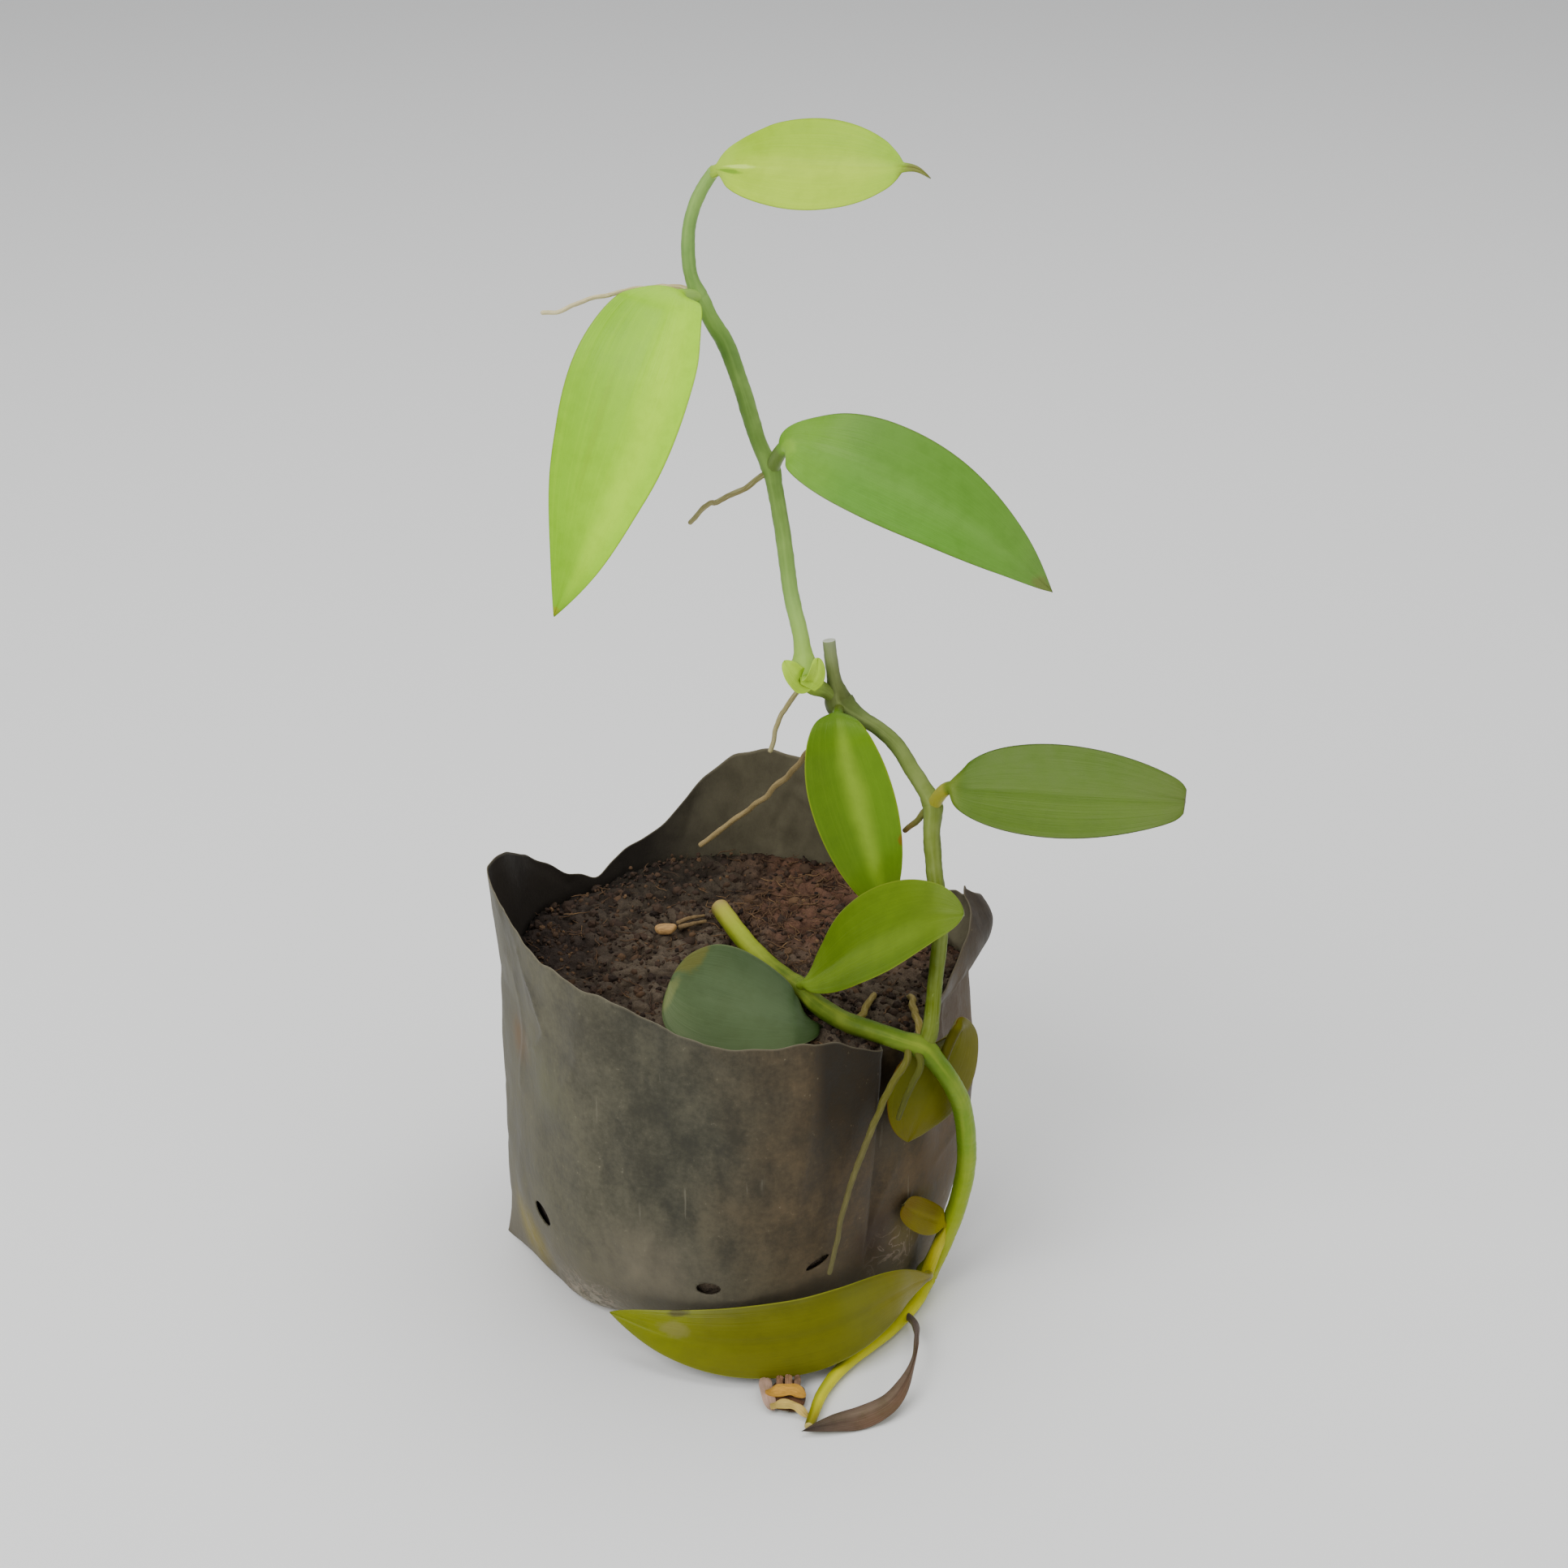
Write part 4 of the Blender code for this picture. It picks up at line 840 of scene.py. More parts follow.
def stem_finish(name, stops, pale, cut, shade, side=0):
    """A satin stem: colours along its run, with painted shade on the side away from the front."""
    made, tree, shader = new_finish(name, 0.45, 0.12, (0.9, 1, 0.6))
    own = banded(tree, "along", stops)
    skin = placed(tree, stem_skin, Colour=own, Pale=pale, Cut=cut, Shade=shade, Side=side)
    dress(shader, skin["Colour"], skin["Height"], 0.14, dull=skin["Roughness"])
    return made


def stem(name, body_slot, finish, route, count, radii, swellings, ends, rough, seed):
    """A stalk along a route, with radii at shares of its run. At each of the named nodes the radius
    is times 1 + swell . exp(-(distance / length)^2), less a fine ring."""
    path = along_route(route, count)
    run = run_of(path)
    radius = np.interp(run / run[-1], *radii)
    for node, swell, length in swellings:
        at = run[np.argmin(np.linalg.norm(path - np.asarray(node), axis=1))]
        bulge = swell * np.exp(-((run - at) / length) ** 2)
        scar = 0.07 * np.exp(-((run - at) / 0.35) ** 2)
        radius = radius * (1 + bulge - scar)
    return stalk(name, path, radius, FRONT, 36, ends, finish, body_slot, rough, seed)


VINE_NODE_1 = (21.3, -19.5, 94.3)
VINE_NODE_2 = (53.6, -46.6, 92.6)
VINE_NODE_3 = (57.2, -26, 4.2)
vine_finish = stem_finish("old_vine", ((0, 150, 124, 84), (0.018, 160, 156, 60), (0.06, 146, 158, 44),
    (0.17, 76, 98, 28), (0.3, 74, 98, 29), (0.38, 86, 115, 28), (0.5, 104, 137, 31), (0.62, 126, 146, 12),
    (0.7, 150, 156, 10), (0.8, 198, 194, 16), (0.96, 208, 202, 24), (1, 97, 76, 22)), (158, 168, 62),
    (180, 164, 96), 0.75, -0.6)
vine_route = ((0, 23.9, 92.9), (7, 7, 92.7), (13.9, -6.9, 93.1), VINE_NODE_1, (27, -29.4, 94.7),
    (33.8, -37.6, 95.1), (41.2, -42.6, 95.2), (48.1, -45.9, 94.6), VINE_NODE_2, (57.9, -46.4, 87),
    (61.5, -44.6, 80), (64.3, -41.6, 71.3), (66.2, -37.6, 57.4), (66.4, -34.2, 45.3), (64.8, -31.2, 31.9),
    (62.2, -29.6, 21), (59.2, -28, 10.5), VINE_NODE_3, (54.6, -33.6, 2.9), (49.7, -42.6, 2.7),
    (44, -50.4, 2.6), (37.2, -58, 2.4), (31.6, -65.6, 2.2), (27.7, -73.4, 2), (25.6, -80.9, 1.8),
    (24.4, -85.4, 1.7))
vine = stem("old_vine", "old_vine", vine_finish, vine_route, 620,
            ((0, 0.72, 0.8, 1), (2.6, 2.6, 2.2, 1.3)),
            ((VINE_NODE_1, 0.22, 3), (VINE_NODE_2, 0.22, 3), (VINE_NODE_3, 0.22, 3)), (0.12, 0.5), 0.02, 51)
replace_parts(vine, "trailing_stem")


# The climbing stem: a branch that rises from the vine's node at the rim and ends above a dark
# knotted fork in a cut stub, with the scars of old sheaths round the knot.
CLIMB_NODE_1 = (55.7, -19.5, 148.8)
CLIMB_NODE_2 = (32.4, -3, 169.3)
climb_finish = stem_finish("branch", ((0, 88, 101, 12), (0.2, 84, 99, 8), (0.36, 90, 106, 14),
    (0.5, 104, 120, 44), (0.62, 109, 126, 60), (0.8, 83, 99, 48), (0.87, 73, 82, 37), (0.93, 103, 113, 64),
    (1, 132, 141, 109)), (149, 162, 98), (187, 190, 173), 0.5)
climb_route = (VINE_NODE_2, (55.2, -44.6, 97.1), (55.7, -43.2, 100.6), (56.2, -40.5, 106.5),
    (57, -37.5, 112.9), (57.6, -34.5, 119.8), (57.4, -31.5, 126.4), (56.1, -27.5, 134.8),
    (55.5, -23.5, 142.1), CLIMB_NODE_1, (52.8, -16.5, 153.6), (50.2, -14.5, 157), (46.9, -11.5, 161.5),
    (42.5, -9, 164.9), (37.4, -6, 167.1), CLIMB_NODE_2, (31.2, -2, 173.4), (30.5, -1.5, 177.3),
    (29.8, -0.6, 181.5), (29.3, 0, 186))
climb = stem("climbing_branch", "branch", climb_finish, climb_route, 360,
             ((0, 0.1, 0.3, 0.5, 0.7, 0.86, 1), (2.3, 2, 2.05, 2.25, 2, 1.9, 1.65)),
             ((CLIMB_NODE_1, 0.22, 3), (CLIMB_NODE_2, 1.05, 4.4)), (0.3, 0.1), 0.035, 61)
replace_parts(climb, "climbing_stem")


# The young shoot: a lime green stem from the fork up to the top leaf, swollen at its foot,
# where a small lobed scale and a second ear of it clasp the stem.
SHOOT_FOOT = (23.2, -3.4, 178.8)
SHOOT_NODE_1 = (14.6, 7, 229.9)
SHOOT_NODE_2 = (-2.7, 12, 272.7)
SHOOT_TOP = (1, 7.2, 304.9)
shoot_finish = stem_finish("shoot", ((0, 84, 97, 34), (0.045, 97, 111, 41), (0.07, 158, 189, 66),
    (0.12, 158, 193, 81), (0.22, 134, 170, 85), (0.36, 114, 147, 69), (0.5, 106, 139, 63),
    (0.66, 102, 137, 66), (0.72, 114, 152, 68), (0.85, 115, 154, 79), (1, 133, 170, 84)), (165, 197, 106),
    (133, 170, 84), 0.3, 0.35)
shoot_route = (CLIMB_NODE_2, (28.9, -3.4, 173), (25.6, -3.8, 175.2), SHOOT_FOOT, (22.8, -2.6, 182.8),
    (21.9, -1.4, 189), (20, 1, 196.7), (19, 2.6, 202.7), (17.4, 5, 215), (15.5, 6.5, 225.3),
    SHOOT_NODE_1, (11.2, 8, 237.7), (7.6, 9, 250), (3.7, 10, 261.2), (0.7, 10.8, 266.1),
    SHOOT_NODE_2, (-4.4, 12, 277), (-5.2, 11.8, 281.1), (-5.3, 11.4, 286.3), (-4.8, 11, 291.4),
    (-3.3, 10, 296.7), (-1.5, 9, 300.7), SHOOT_TOP)
shoot = stem("young_shoot_stem", "shoot", shoot_finish, shoot_route, 420,
             ((0, 0.06, 0.4, 0.7, 0.8, 1), (1.4, 2.1, 2, 2.1, 1.7, 1.5)),
             ((SHOOT_NODE_1, 0.22, 3), (SHOOT_NODE_2, 0.22, 3), (SHOOT_FOOT, 0.95, 4)),
             (0.3, 0.8), 0.03, 71)
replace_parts(shoot, "young_shoot")


# The leaves: thick waxy blades on short channelled petioles. Each has a shallow channel above
# the midrib and a keel below it, fine veins that run side by side from base to tip, a paler
# margin, and its own colours, because they differ in age and light.
def leaf_body(name, finish, body_slot, route, petiole, width, powers, normals, cup, thick=1.4, stalk_r=1.35,
              cut=1, claw=0, wave=0.25, folds=1, rows=150, half_columns=29):
    """A leaf from rings round its spine, with the blade coordinates (t, u, under) of their points.

    t runs from 0 where the petiole opens to 1 at the tip. The half width is w/2 . (t/m)^low .
    ((1-t)/(1-m))^high with m = low / (low + high), joined to the petiole's radius by a fourth
    power mean, and a cut end has rounded corners. A claw is a thin end past the blade, for that
    share of the length. A point lies half width . u across the spine, and off it by cup . u^2, by
    the channel exp(-(u/0.09)^2), by half the thickness . sqrt(1 - u^2), up or down, and by a
    flute of the margin, wave . u^2 . sin(6 . folds . t).
    """
    path = along_route(route, 500)
    run = run_of(path)
    eased = 0.5 - 0.5 * np.cos(np.linspace(0.02, np.pi - 0.02, rows))
    end = petiole + (run[-1] - petiole) * cut
    at = np.concatenate([np.linspace(0, petiole, 24)[:-1], petiole + (end - petiole) * eased])
    spine = np.stack([np.interp(at, run, path[:, k]) for k in range(3)], axis=1)
    ahead = unit(np.gradient(spine, axis=0))
    share = at / run[-1]
    hint = np.outer(1 - share, normals[0]) + np.outer(share, normals[1])
    across = unit(np.cross(ahead, hint))
    normal = np.cross(across, ahead)
    t = np.clip((at - petiole) / (run[-1] - petiole), 0, 1)
    low, high = powers
    m = low / (low + high)
    open_t = np.clip(t / (1 - claw), 1e-6, 1 - 1e-6)
    outline = width / 2 * (open_t / m) ** low * ((1 - open_t) / (1 - m)) ** high * (at > petiole)
    foot = stalk_r * (1 + 0.25 * np.exp(-at / 1.5)) * np.clip(1 - 3 * t, 0, 1)
    foot = foot + (1.3 * np.clip((1 - t) / claw, 0, 1) ** 0.7 * (t > 0.7) if claw else 0)
    half = (outline ** 4 + foot ** 4 + 0.05 ** 4) ** 0.25
    half = half * (1 - (0.3 * np.exp((at - end) / 0.9) if cut < 1 else 0))
    blade = np.clip(t / 0.10, 0, 1) ** 2 * (3 - 2 * np.clip(t / 0.10, 0, 1))
    depth = (1 - blade) * stalk_r + blade * thick / 2 * (0.55 + 0.45 * np.sqrt(np.clip(1 - t, 0, 1)))
    depth = np.minimum(depth, half * 1.2)
    a = np.linspace(0, np.pi, half_columns)
    u = np.concatenate([-np.cos(a), np.cos(a)[1:-1]])[None]
    under = np.concatenate([np.zeros(half_columns), np.ones(half_columns - 2)])[None]
    sign = 1 - 2 * under
    belly = cup * (2 * half / width)[:, None] ** 2 * u ** 2 * (1 + 0.8 * np.exp(-(t[:, None] / 0.15) ** 2))
    channel = -0.3 * np.exp(-(u / 0.09) ** 2) * (1 + 0.6 * under) * blade[:, None]
    flute = wave * np.abs(u) ** 2 * np.sin(6 * folds * t[:, None] + 1.5 * np.sign(u)) * blade[:, None]
    off = belly + channel + flute + sign * depth[:, None] * np.sqrt(np.clip(1 - u ** 2, 0, 1))
    grid = spine[:, None] + across[:, None] * (half[:, None] * u)[..., None]
    grid = grid + normal[:, None] * off[..., None]
    t_row = np.where(at < petiole, (at - petiole) / 20, t)[:, None] + 0 * u
    blade_place = np.stack([t_row, u + 0 * t_row, under + 0 * t_row], axis=-1)
    return closed_body(name, grid, finish, body_slot, blade=blade_place)


# A blade's look over t and u: from its left to its right colour, then the tip's and the base's, a painted
# highlight stripe along it, fine veins in the stripe's colour, mottle, the margin and a paler underside.
LEAF_COLOURS = ("Base", "Left", "Right", "Tip", "Margin", "Highlight_and_veins", "Petiole")
leaf_surface, given, out = group(
    "leaf_surface", SURFACE, **dict.fromkeys(LEAF_COLOURS, PLAIN_GREEN), Stripe_place=0.1, Stripe_width=0.3,
    Stripe_weight=0.5, Base_reach=0.3, Veins=0.10, Mottle=0.25)
base, left, right, tip, margin, highlight_stripe, petiole = given[:7]
highlight_place, highlight_width, highlight_weight, base_reach, vein_weight, mottle_weight = given[7:]
t, u, under = axes_of(band(leaf_surface, "blade", "Vector"))
place = object_place(leaf_surface)
drift = noise(place, 70, 3, 0.5) - 0.5
u_drift = drift * 0.35 + u
made = mixed(step(u_drift, -0.75, 0.75), left, right)
made = mixed(step(drift * 0.3 + t, 0.62, 1.02), made, tip)
made = mixed(step(drift * 0.5 + (1 - t / base_reach), 0, 1), made, base)
# A painted highlight stripe along the blade, in the stripe's colour.
on_highlight = step(1 - abs(u_drift - highlight_place) / highlight_width, 0, 1) * highlight_weight
made = mixed(on_highlight * step(t, -0.02, 0.2) * step(t, 1, 0.72), made, highlight_stripe)
vein_place = Value(add(leaf_surface, "CombineXYZ", u * 14, t * 1.3, under).outputs[0])
veins = noise(vein_place, 1, 3, 0.65)
made = mixed(step(veins, 0.48, 0.62) * vein_weight, made, highlight_stripe)
mottle = noise(place, 240, 4, 0.6)
made = tinted(step(mottle, 0.62, 0.3) * mottle_weight, made, (0.62, 0.66, 0.5))
made = mixed(step(abs(u), 0.955, 0.995) * 0.75, made, margin)
made = mixed(under * 0.25, made, (0.36, 0.42, 0.20, 1))
fill(out["Colour"], mixed(step(t, 0, -0.1), made, petiole))
fill(out["Height"], veins + mottle * 0.5)
fill(out["Roughness"], mottle * 0.22 + 0.27)

# A mark on a blade: an oval in t and u with a rough soft edge.
blade_mark, given, out = group(
    "blade_mark", ("Colour",), Colour=PLAIN_GREEN, Mark=PLAIN_GREEN, Along=0.5, Across=0, Half_length=0.1,
    Half_width=0.1, Weight=0.8)
own, tone, along, across, half_length, half_width, weight = given
t, u, _ = axes_of(band(blade_mark, "blade", "Vector"))
rough = noise(object_place(blade_mark), 330, 4, 0.65) - 0.5
past_t = (t - along) / half_length
past_u = (u - across) / half_width
reach = reckoned("SQRT", past_t * past_t + past_u * past_u)
fill(out["Colour"], mixed(step(rough * 0.9 + reach, 1, 0.45) * weight, own, tone))


def leaf_finish(name, colours, highlight_stripe, marks=(), gloss=0.3, relief=0.1, veins=0.10, mottle=0.25):
    """A waxy leaf: the shared surface with its own colours in the order of LEAF_COLOURS, where a
    petiole without a colour takes the base's, and the painted highlight stripe's place, width, weight
    and the reach of the base. Then its marks one over another: colour, place and half sizes along and
    across, and weight."""
    made, tree, shader = new_finish(name, 0.4, gloss, (0.9, 1, 0.55))
    own = dict(zip(LEAF_COLOURS, (*colours, colours[0])))
    own.update(zip(("Stripe_place", "Stripe_width", "Stripe_weight", "Base_reach"), highlight_stripe))
    surface = placed(tree, leaf_surface, Veins=veins, Mottle=mottle, **own)
    colour = surface["Colour"]
    for mark in marks:
        own = dict(zip(("Mark", "Along", "Across", "Half_length", "Half_width", "Weight"), mark))
        colour = placed(tree, blade_mark, Colour=colour, **own)["Colour"]
    dress(shader, colour, surface["Height"], relief, dull=surface["Roughness"])
    return made


# Each leaf's form, then its look.
LEAVES = {
    "leaf_top": (dict(route=(SHOOT_TOP, (5.4, 4.2, 307.4), (12.9, -0.5, 308.8), (22.4, -5, 309.5),
        (31.7, -9, 310.4), (41, -12.5, 311.3), (47.4, -15, 312), (51.4, -17, 310.3)),
        petiole=1.8, width=23.5, powers=(0.62, 0.6), normals=((0, -0.72, 0.7), (0.1, -0.8, 0.6)), cup=1.6,
        claw=0.13),
        dict(colours=((165, 199, 56), (154, 193, 25), (168, 203, 34), (129, 177, 21), (129, 158, 28),
             (189, 217, 62), (137, 170, 57)),
             highlight_stripe=(0.05, 0.5, 0.4, 0.16),
             marks=(((199, 227, 96), 0.13, 0.12, 0.1, 0.1, 0.9),
                    ((87, 135, 16), 0.09, 0.34, 0.09, 0.12, 0.7),
                    ((109, 110, 51), 0.96, 0, 0.13, 2.4, 0.95)))),
    "leaf_left": (dict(route=(SHOOT_NODE_2, (-5.2, 8.2, 274.6), (-8.4, 3.6, 275.6), (-11, -0.8, 273.4),
        (-14.2, -4.2, 266.6), (-17.8, -8, 258.2), (-22.4, -12, 245.3), (-26.9, -14.5, 233.7),
        (-32.4, -17.5, 218), (-38.7, -19, 201.3)),
        petiole=9.2, width=33.4, powers=(0.5, 0.97), normals=((-0.3, -0.75, 0.6), (-0.5, -0.85, 0.1)),
        cup=3),
        dict(colours=((154, 204, 27), (163, 219, 24), (133, 190, 13), (123, 178, 17), (122, 158, 20),
             (184, 234, 36), (150, 188, 84)),
             highlight_stripe=(-0.45, 0.5, 0.55, 0.12),
             marks=(((131, 178, 17), 0.45, 0.35, 0.25, 0.08, 0.5),
                    ((151, 143, 24), 0.985, 0, 0.02, 1.2, 0.6)))),
    "leaf_right": (dict(route=(SHOOT_NODE_1, (17.1, 3, 236.1), (20.1, 0, 239.2), (27.6, -5, 239),
        (40.4, -10, 235.9), (56.1, -15, 229.3), (71.9, -19, 219), (83.4, -22, 209.2)),
        petiole=10, width=25.5, powers=(0.55, 0.9), normals=((0.2, -0.8, 0.6), (0.45, -0.85, 0.35)),
        cup=1.8, stalk_r=1.8),
        dict(colours=((110, 156, 47), (89, 135, 45), (89, 140, 44), (92, 129, 53), (82, 104, 40),
             (107, 151, 64), (100, 124, 54)),
             highlight_stripe=(0.1, 0.45, 0.35, 0.3),
             marks=(((100, 98, 51), 0.98, 0.3, 0.07, 1.3, 0.6),
                    ((140, 180, 66), 0.03, 0.3, 0.05, 0.7, 0.6)))),
    "leaf_hanging": (dict(route=(CLIMB_NODE_2, (31.4, -11, 169.6), (31.8, -15, 164.8), (33.9, -16.5, 155),
        (36.9, -18, 144.1), (40.3, -19.5, 131.7), (43.8, -21.5, 118.8)),
        petiole=7.4, width=21.8, powers=(0.44, 0.6), normals=((-0.1, -0.8, 0.6), (-0.1, -0.98, 0.15)),
        cup=1.8),
        dict(colours=((78, 112, 9), (92, 130, 4), (82, 115, 1), (91, 120, 1), (136, 154, 25),
             (138, 168, 44), (80, 94, 30)),
             highlight_stripe=(-0.12, 0.4, 0.7, 0.16), veins=0.05,
             marks=(((123, 95, 8), 0.66, -0.98, 0.035, 0.12, 0.95),))),
    "leaf_side": (dict(route=(CLIMB_NODE_1, (58.8, -24, 155.9), (63.5, -26.5, 157.3), (73.4, -30, 159),
        (87, -35, 160.6), (102.5, -40, 162.1), (115.7, -45, 163.6), (121.4, -47, 164.2)),
        petiole=10.6, width=24, powers=(0.5, 0.75), normals=((0.1, -0.72, 0.7), (0.1, -0.8, 0.6)), cup=1.6,
        stalk_r=1.7, cut=0.91),
        dict(colours=((96, 115, 27), (67, 96, 15), (71, 98, 18), (72, 90, 25), (49, 58, 20), (79, 106, 24),
             (148, 145, 44)),
             highlight_stripe=(0.3, 0.6, 0.35, 0.07),
             marks=(((65, 66, 26), 0.915, 0, 0.012, 1.4, 0.7),))),
    "leaf_over_soil": (dict(route=(VINE_NODE_1, (23.6, -25, 98.6), (29.2, -30, 106.5), (37.3, -35, 116.4),
        (47.3, -40, 125.4), (55.2, -44, 130.8), (62.6, -47, 132.8)),
        petiole=6.4, width=24, powers=(0.8, 0.6), normals=((-0.35, -0.45, 0.8), (-0.2, -0.6, 0.8)),
        cup=2.4),
        dict(colours=((109, 134, 34), (90, 117, 4), (82, 108, 4), (88, 110, 19), (115, 131, 32),
             (114, 140, 32)),
             highlight_stripe=(0.35, 0.5, 0.5, 0.3))),
    "leaf_rim": (dict(route=((33, -17, 76), (31, -21.6, 80.6), (28.4, -28.4, 86), (25.6, -34.6, 91.6),
        (20.6, -36.4, 94.8), (13.4, -35.8, 96.8), (4, -34, 98.6), (-5, -31.6, 100.6),
        (-11.6, -29.4, 102.6)),
        petiole=24, width=31.5, powers=(0.66, 0.4), normals=((0.1, 0.2, 0.9), (-0.15, -0.7, 0.8)),
        cup=-0.6),
        dict(colours=((38, 56, 24), (54, 72, 41), (58, 76, 47), (66, 84, 52), (92, 104, 66), (78, 94, 66)),
             highlight_stripe=(0.1, 0.7, 0.35, 0.2), veins=0.1, mottle=0.4,
             marks=(((94, 89, 33), 0.93, 0.75, 0.1, 0.5, 0.7),
                    ((107, 111, 64), 0.97, -0.4, 0.05, 0.8, 0.6)))),
    "leaf_shaded": (dict(route=((57.9, -46.4, 87), (60.8, -42.2, 92.4), (63, -38.4, 94.2),
        (62, -37.6, 88.6), (59, -39.2, 82.2), (56.2, -41.2, 76.4), (52.6, -43.6, 69), (50.1, -45.2, 62.8)),
        petiole=11.2, width=29.5, powers=(0.82, 0.7), normals=((0.67, -0.7, 0.3), (0.66, -0.74, 0.1)),
        cup=-1),
        dict(colours=((86, 82, 3), (98, 94, 3), (81, 82, 3), (92, 85, 3), (88, 55, 10), (102, 102, 3),
             (69, 65, 3)),
             highlight_stripe=(0, 0.5, 0.3, 0.3), gloss=0.08)),
    "leaf_ground": (dict(route=(VINE_NODE_3, (57, -35, 10.8), (52, -43.6, 14.6), (46.2, -51.4, 16.6),
        (34.5, -61, 16), (20.9, -65, 13.6), (3.8, -65.6, 12.6), (-12.4, -62.4, 13.2), (-28.6, -55.8, 15.2)),
        petiole=11.3, width=20.2, powers=(0.85, 0.82), normals=((0.5, -0.8, 0.35), (-0.35, -0.85, 0.35)),
        cup=-1.2),
        dict(colours=((119, 108, 16), (99, 98, 4), (85, 85, 4), (113, 120, 4), (134, 137, 32),
             (108, 108, 10)),
             highlight_stripe=(0.5, 0.5, 0.35, 0.35),
             marks=(((56, 44, 23), 0.815, 0.9, 0.04, 0.2, 0.85),
                    ((126, 118, 70), 0.82, 0.25, 0.055, 0.42, 0.45),
                    ((73, 63, 42), 0.02, -0.5, 0.05, 0.7, 0.5)))),
}
for name, (form, look) in LEAVES.items():
    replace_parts(leaf_body(name + "_blade", leaf_finish(name, **look), name, **form), name)


# Scales and withered leaves: the lobed scale and the ear at the shoot's foot are fresh and lime
# green; the leaf on the floor is dry and twisted, the husk beside it is split and striped, and the sheath
# of a fallen leaf clings to the vine near the floor. A yellow scale beside the vine, above the sheath, is
# a painted reflection of the yellow-green leaf in the film, made as a solid.
scale_finish = leaf_finish(
    "foot_scale",
    ((153, 190, 41), (168, 204, 50), (162, 198, 44), (175, 212, 54), (191, 223, 70), (194, 229, 70)),
    (0, 0.6, 0.4, 0.3), veins=0.3)
scale = leaf_body(
    "foot_scale", scale_finish, "bract",
    (SHOOT_FOOT, (22, -6.8, 177.8), (20.6, -8.2, 179.8), (19.2, -7.6, 181.8), (17.8, -6.6, 183.4)),
    1.6, 6.8, (0.3, 0.6), ((0.3, -0.6, 0.6), (0.4, -0.8, 0.3)), 1, 1, 1.2, rows=60, half_columns=17)
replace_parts(scale, "shoot_bract")
leaf_body(
    "foot_ear", scale_finish, "bract",
    (SHOOT_FOOT, (24.6, -7.2, 178), (25.6, -7.8, 179.6), (26.2, -7.2, 181.6), (26.4, -6, 184)),
    1.6, 5.6, (0.3, 0.5), ((0.3, -0.8, 0.3), (0.5, -0.8, 0.1)), 0.8, 0.9, 1.2, rows=60, half_columns=17)

dry_finish = leaf_finish(
    "dry_leaf", ((104, 90, 88), (104, 73, 57), (94, 74, 65), (64, 52, 52), (72, 60, 58), (122, 103, 86)),
    (0.5, 0.6, 0.5, 0.3), relief=0.3, veins=0.5, mottle=0.6)
dry = leaf_body(
    "dry_leaf_blade", dry_finish, "dry_leaf",
    ((50.6, -41, 2.8), (52.5, -44.8, 3.8), (53.5, -49.6, 5.2), (53.3, -56.4, 6.4), (52.2, -64.8, 6.8),
     (49.6, -73.5, 6.4), (45.2, -80.2, 5), (38.4, -83.8, 3.6), (30.5, -85.4, 2.8), (22.4, -87.6, 2)),
    10.4, 5.9, (2.5, 1.1), ((0.4, -0.5, 0.75), (0.1, -0.6, 0.75)), -1, 0.9, 1, wave=0.5, folds=3)
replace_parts(dry, "dry_leaf")

# Each strip's colour, width, powers and route.
HUSK_STRIPS = (
    ("husk", (104, 72, 54), 9.6, (0.3, 0.35), ((18.6, -67.4, 2.2), (18.9, -71.6, 2.7), (19, -75.6, 2.7),
     (19.2, -79.6, 1.7))),
    ("husk_flap", (206, 168, 148), 3.6, (0.3, 0.3), ((13.4, -66.4, 3), (13, -70.8, 3.9),
     (13.8, -75.4, 3.2), (15, -79, 1.5))),
    ("husk_slip_1", (170, 126, 98), 1.9, (0.2, 0.2), ((16.6, -67.6, 3.9), (16.8, -70.2, 4.5),
     (16.8, -73.4, 4.3))),
    ("husk_slip_2", (186, 142, 110), 2, (0.2, 0.2), ((19, -67.6, 4.1), (19.1, -70.2, 4.8),
     (19.1, -73.6, 4.5))),
    ("husk_slip_3", (160, 124, 102), 1.8, (0.2, 0.2), ((21.4, -67.8, 3.6), (21.4, -70.6, 4.3),
     (21.3, -73.8, 4))),
    ("husk_band", (236, 174, 72), 3.6, (0.3, 0.3), ((13.2, -74.4, 3.5), (16.6, -74.8, 4.8),
     (20.4, -74.6, 4.9), (23.6, -75.2, 3.2))),
    ("husk_hem", (238, 204, 112), 2.6, (0.3, 0.4), ((14.4, -78.2, 2.2), (17.8, -78.4, 3.4),
     (21.2, -79.2, 3), (24.4, -81.8, 1.4))))
for name, tone, width, powers, route in HUSK_STRIPS:
    shades = [[round(c * share) for c in tone] for share in (0.88, 1, 0.94, 0.9, 1.06, 1.08)]
    finish = leaf_finish(name, shades, (0, 0.3, 0.4, 0.3), gloss=0.25, relief=0.5, veins=0.6, mottle=0.6)
    strip = leaf_body(name, finish, "dry_husk", route, 0.4, width, powers, ((0.1, -0.4, 0.9),) * 2,
                      -0.12 * width, 0.7, 0.7, wave=0.4, folds=2, rows=60, half_columns=17)
    if name == "husk":
        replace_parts(strip, "dry_husk")

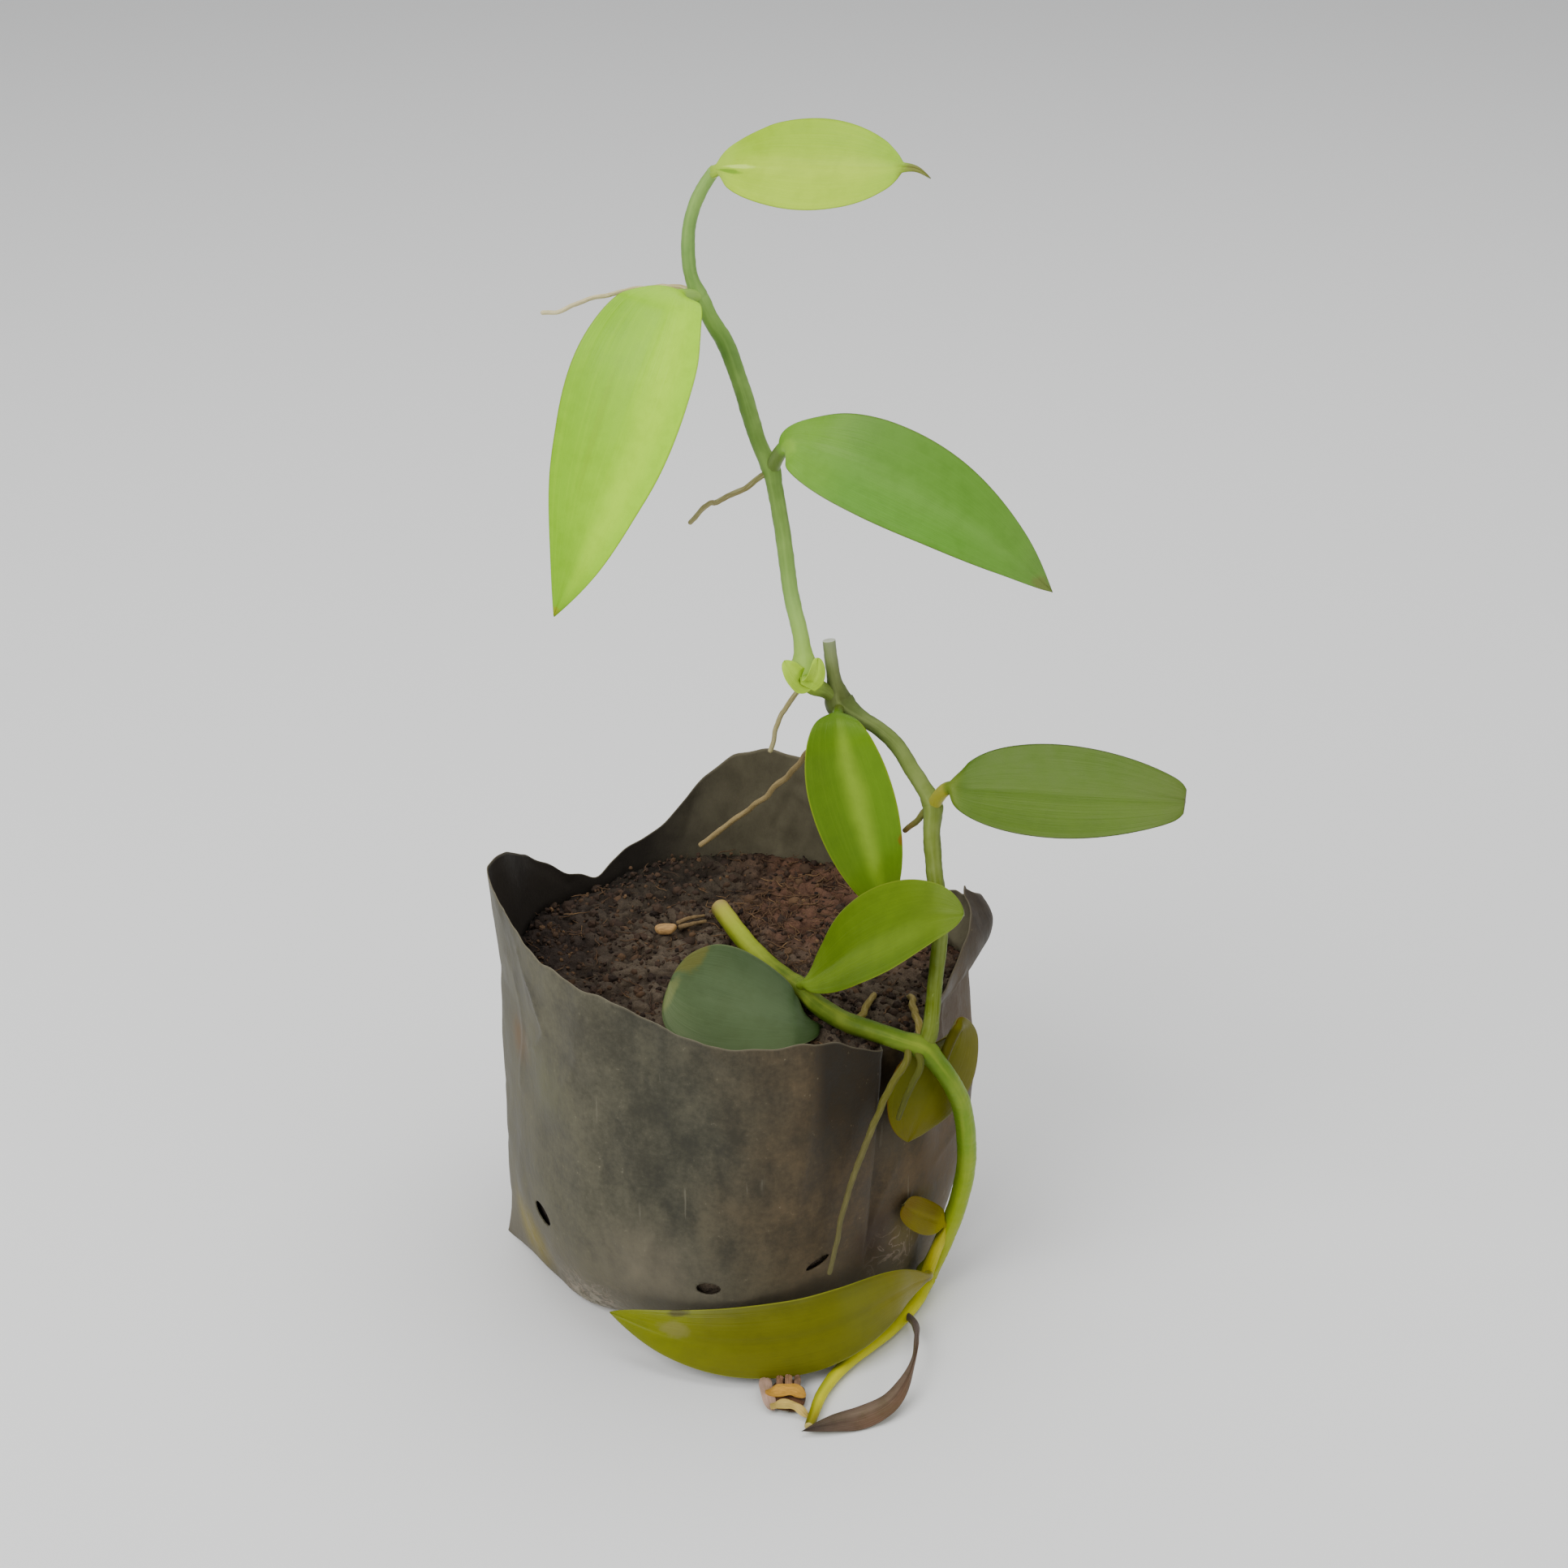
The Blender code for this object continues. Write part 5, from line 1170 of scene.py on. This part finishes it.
# The yellow scale is a painted reflection of the yellow-green leaf in the film, made as a solid.
reflection_scale_finish = leaf_finish(
    "withered_scale", ((125, 117, 2), (105, 94, 1), (97, 83, 1), (97, 78, 5), (100, 87, 7), (125, 117, 7)),
    (0.1, 0.3, 0.3, 0.3), gloss=0.1)
withered = leaf_body(
    "reflection_scale_blade", reflection_scale_finish, "withered_scale",
    ((63, -30, 24.6), (58.4, -33.6, 28.6), (54, -37, 33.2), (49.8, -40, 38.4)),
    3.8, 9.4, (0.24, 0.26), ((0.6, -0.7, 0.2),) * 2, 0.4, 0.9, rows=80)
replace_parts(withered, "withered_scale")

sheath_finish = stem_finish("leaf_sheath", ((0, 132, 128, 8), (0.4, 178, 170, 24), (1, 160, 154, 18)),
                            (200, 192, 84), (150, 146, 18), 0.3)
sheath_path = along_route(((61.9, -31.8, 26), (60.6, -31.8, 21), (58.9, -31.2, 15), (57.4, -30.8, 9.5),
                           (57, -33, 8.4)), 60)
sheath_radius = np.interp(np.linspace(0, 1, 60), (0, 0.3, 1), (0.4, 1.5, 1.8))
stalk("leaf_sheath", sheath_path, sheath_radius, FRONT, 24, (0.5, 0.3), sheath_finish, "old_vine", 0.02, 77)


# The aerial roots: thin, dry and slightly crooked, from the nodes into the air, down the film or
# into the soil. Their skin is velvety, tan where it is dry and greenish near the stem.
def root_finish(name, stops, pale):
    """A rough root skin with colours along its run."""
    made, tree, shader = new_finish(name, 0.75, 0.3)
    scurf = noise(stretched(band(tree, "skin", "Vector"), (1, 1, 0.35)), 700, 4, 0.65)
    dress(shader, mixed(step(scurf, 0.45, 0.75), banded(tree, "along", stops), pale), scurf, 0.2)
    return made


# Each skin's stops and the pale colour of its scurf.
ROOT_SKINS = {
    "tan_root": (((0, 150, 140, 80), (0.2, 184, 168, 112), (1, 210, 198, 152)), (226, 214, 172)),
    "brown_root": (((0, 138, 138, 78), (0.3, 134, 124, 78), (1, 157, 147, 103)), (184, 176, 130)),
    "dull_root": (((0, 96, 88, 44), (0.3, 116, 100, 62), (1, 150, 128, 84)), (150, 132, 92)),
    "stub_root": (((0, 92, 108, 34), (0.6, 96, 92, 36), (1, 118, 84, 40)), (120, 118, 60)),
    "olive_root": (((0, 88, 89, 8), (0.28, 88, 85, 17), (0.42, 88, 83, 39), (1, 88, 83, 48)),
        (108, 101, 57)),
    "lime_root": (((0, 79, 82, 9), (0.4, 69, 73, 4), (1, 62, 63, 4)), (85, 86, 15)),
    "soil_root": (((0, 118, 106, 30), (0.5, 122, 108, 50), (1, 130, 112, 66)), (158, 142, 92)),
}
root_skins = {name: root_finish(name, *look) for name, look in ROOT_SKINS.items()}
# Each root's route, radius at its two ends and skin.
ROOTS = {
    "root_upper_left": ((SHOOT_NODE_2, (-8, 14.4, 274.4), (-16.9, 12.6, 274.6), (-24, 9.6, 274.4),
        (-31.4, 6.4, 273.6), (-36.1, 3, 272), (-40.3, 1, 272.4)), 0.7, 0.5, "tan_root"),
    "root_middle": ((SHOOT_NODE_1, (7.5, 4, 225.6), (1.5, 3, 222.8), (-0.5, 2, 223),
        (-3.2, 3, 220.2), (-5.6, 3, 217.1)), 0.8, 0.6, "brown_root"),
    "root_short": ((SHOOT_FOOT, (21.4, -5.6, 173.6), (18.3, -6.6, 170.4), (16.2, -7.2, 166.2),
        (14.5, -8, 158.5)), 0.75, 0.6, "brown_root"),
    "root_long": ((CLIMB_NODE_2, (31, 2.4, 163.8), (27.2, 8, 153.8), (22, 12, 144.5),
        (14.4, 15, 134.4), (4.4, 18, 124), (-5, 21, 114.8)), 0.85, 0.7, "dull_root"),
    "root_stub": ((CLIMB_NODE_1, (51.7, -18.5, 143.6), (49.9, -18, 141.6), (48.8, -17.5, 140.2)), 1,
        0.65, "stub_root"),
    "root_wall": (((49.6, -46.2, 94.2), (49, -50.6, 91.4), (44.9, -52.3, 84.7), (41.4, -53.8, 75.8),
        (37.7, -55.8, 65.8), (35.1, -57.2, 57.9), (33, -58.4, 49.5), (31.4, -59.2, 39.7),
        (29.8, -59.4, 31)), 1, 0.65, "olive_root"),
    "root_wall_side": (((51.4, -46.6, 94), (52.4, -51.4, 90.6), (50.6, -52.8, 86), (48.8, -53.4, 81.4),
        (47.4, -54.4, 76.6)), 1, 0.7, "lime_root"),
    "root_anchor": ((VINE_NODE_2, (52.6, -38, 94), (51.9, -27, 92.6), (51.6, -19, 90.6),
        (50.6, -14, 86), (50, -12, 81)), 1.1, 0.8, "soil_root"),
    "root_buried": (((35.6, -39.2, 94.9), (38.6, -30, 92.8), (40.6, -21.5, 91.4), (42, -16.5, 89),
        (42.4, -14, 83)), 1, 0.8, "soil_root"),
}
# A root sways off its route by a share of a 7 mm ripple, which fades in over its first 30 points.
ROOT_POINTS = 170
for number, (name, (route, thick_end, thin_end, skin)) in enumerate(ROOTS.items()):
    path = along_route(route, ROOT_POINTS)
    crooked = np.stack([ripple(path, 7, 80 + 3 * number + k) for k in range(3)], axis=1)
    fade = np.clip(np.arange(ROOT_POINTS) / 30, 0, 1)[:, None]
    sway = 0.07 if name == "root_wall" else 0.22
    radius = np.linspace(thick_end, thin_end, ROOT_POINTS)
    made = stalk(name + "_skin", path + sway * crooked * fade, radius, (0.6, 0.8, 0.15), 18, (0.3, 0.9),
                 root_skins[skin], "root", 0.07, 90 + number)
    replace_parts(made, name)
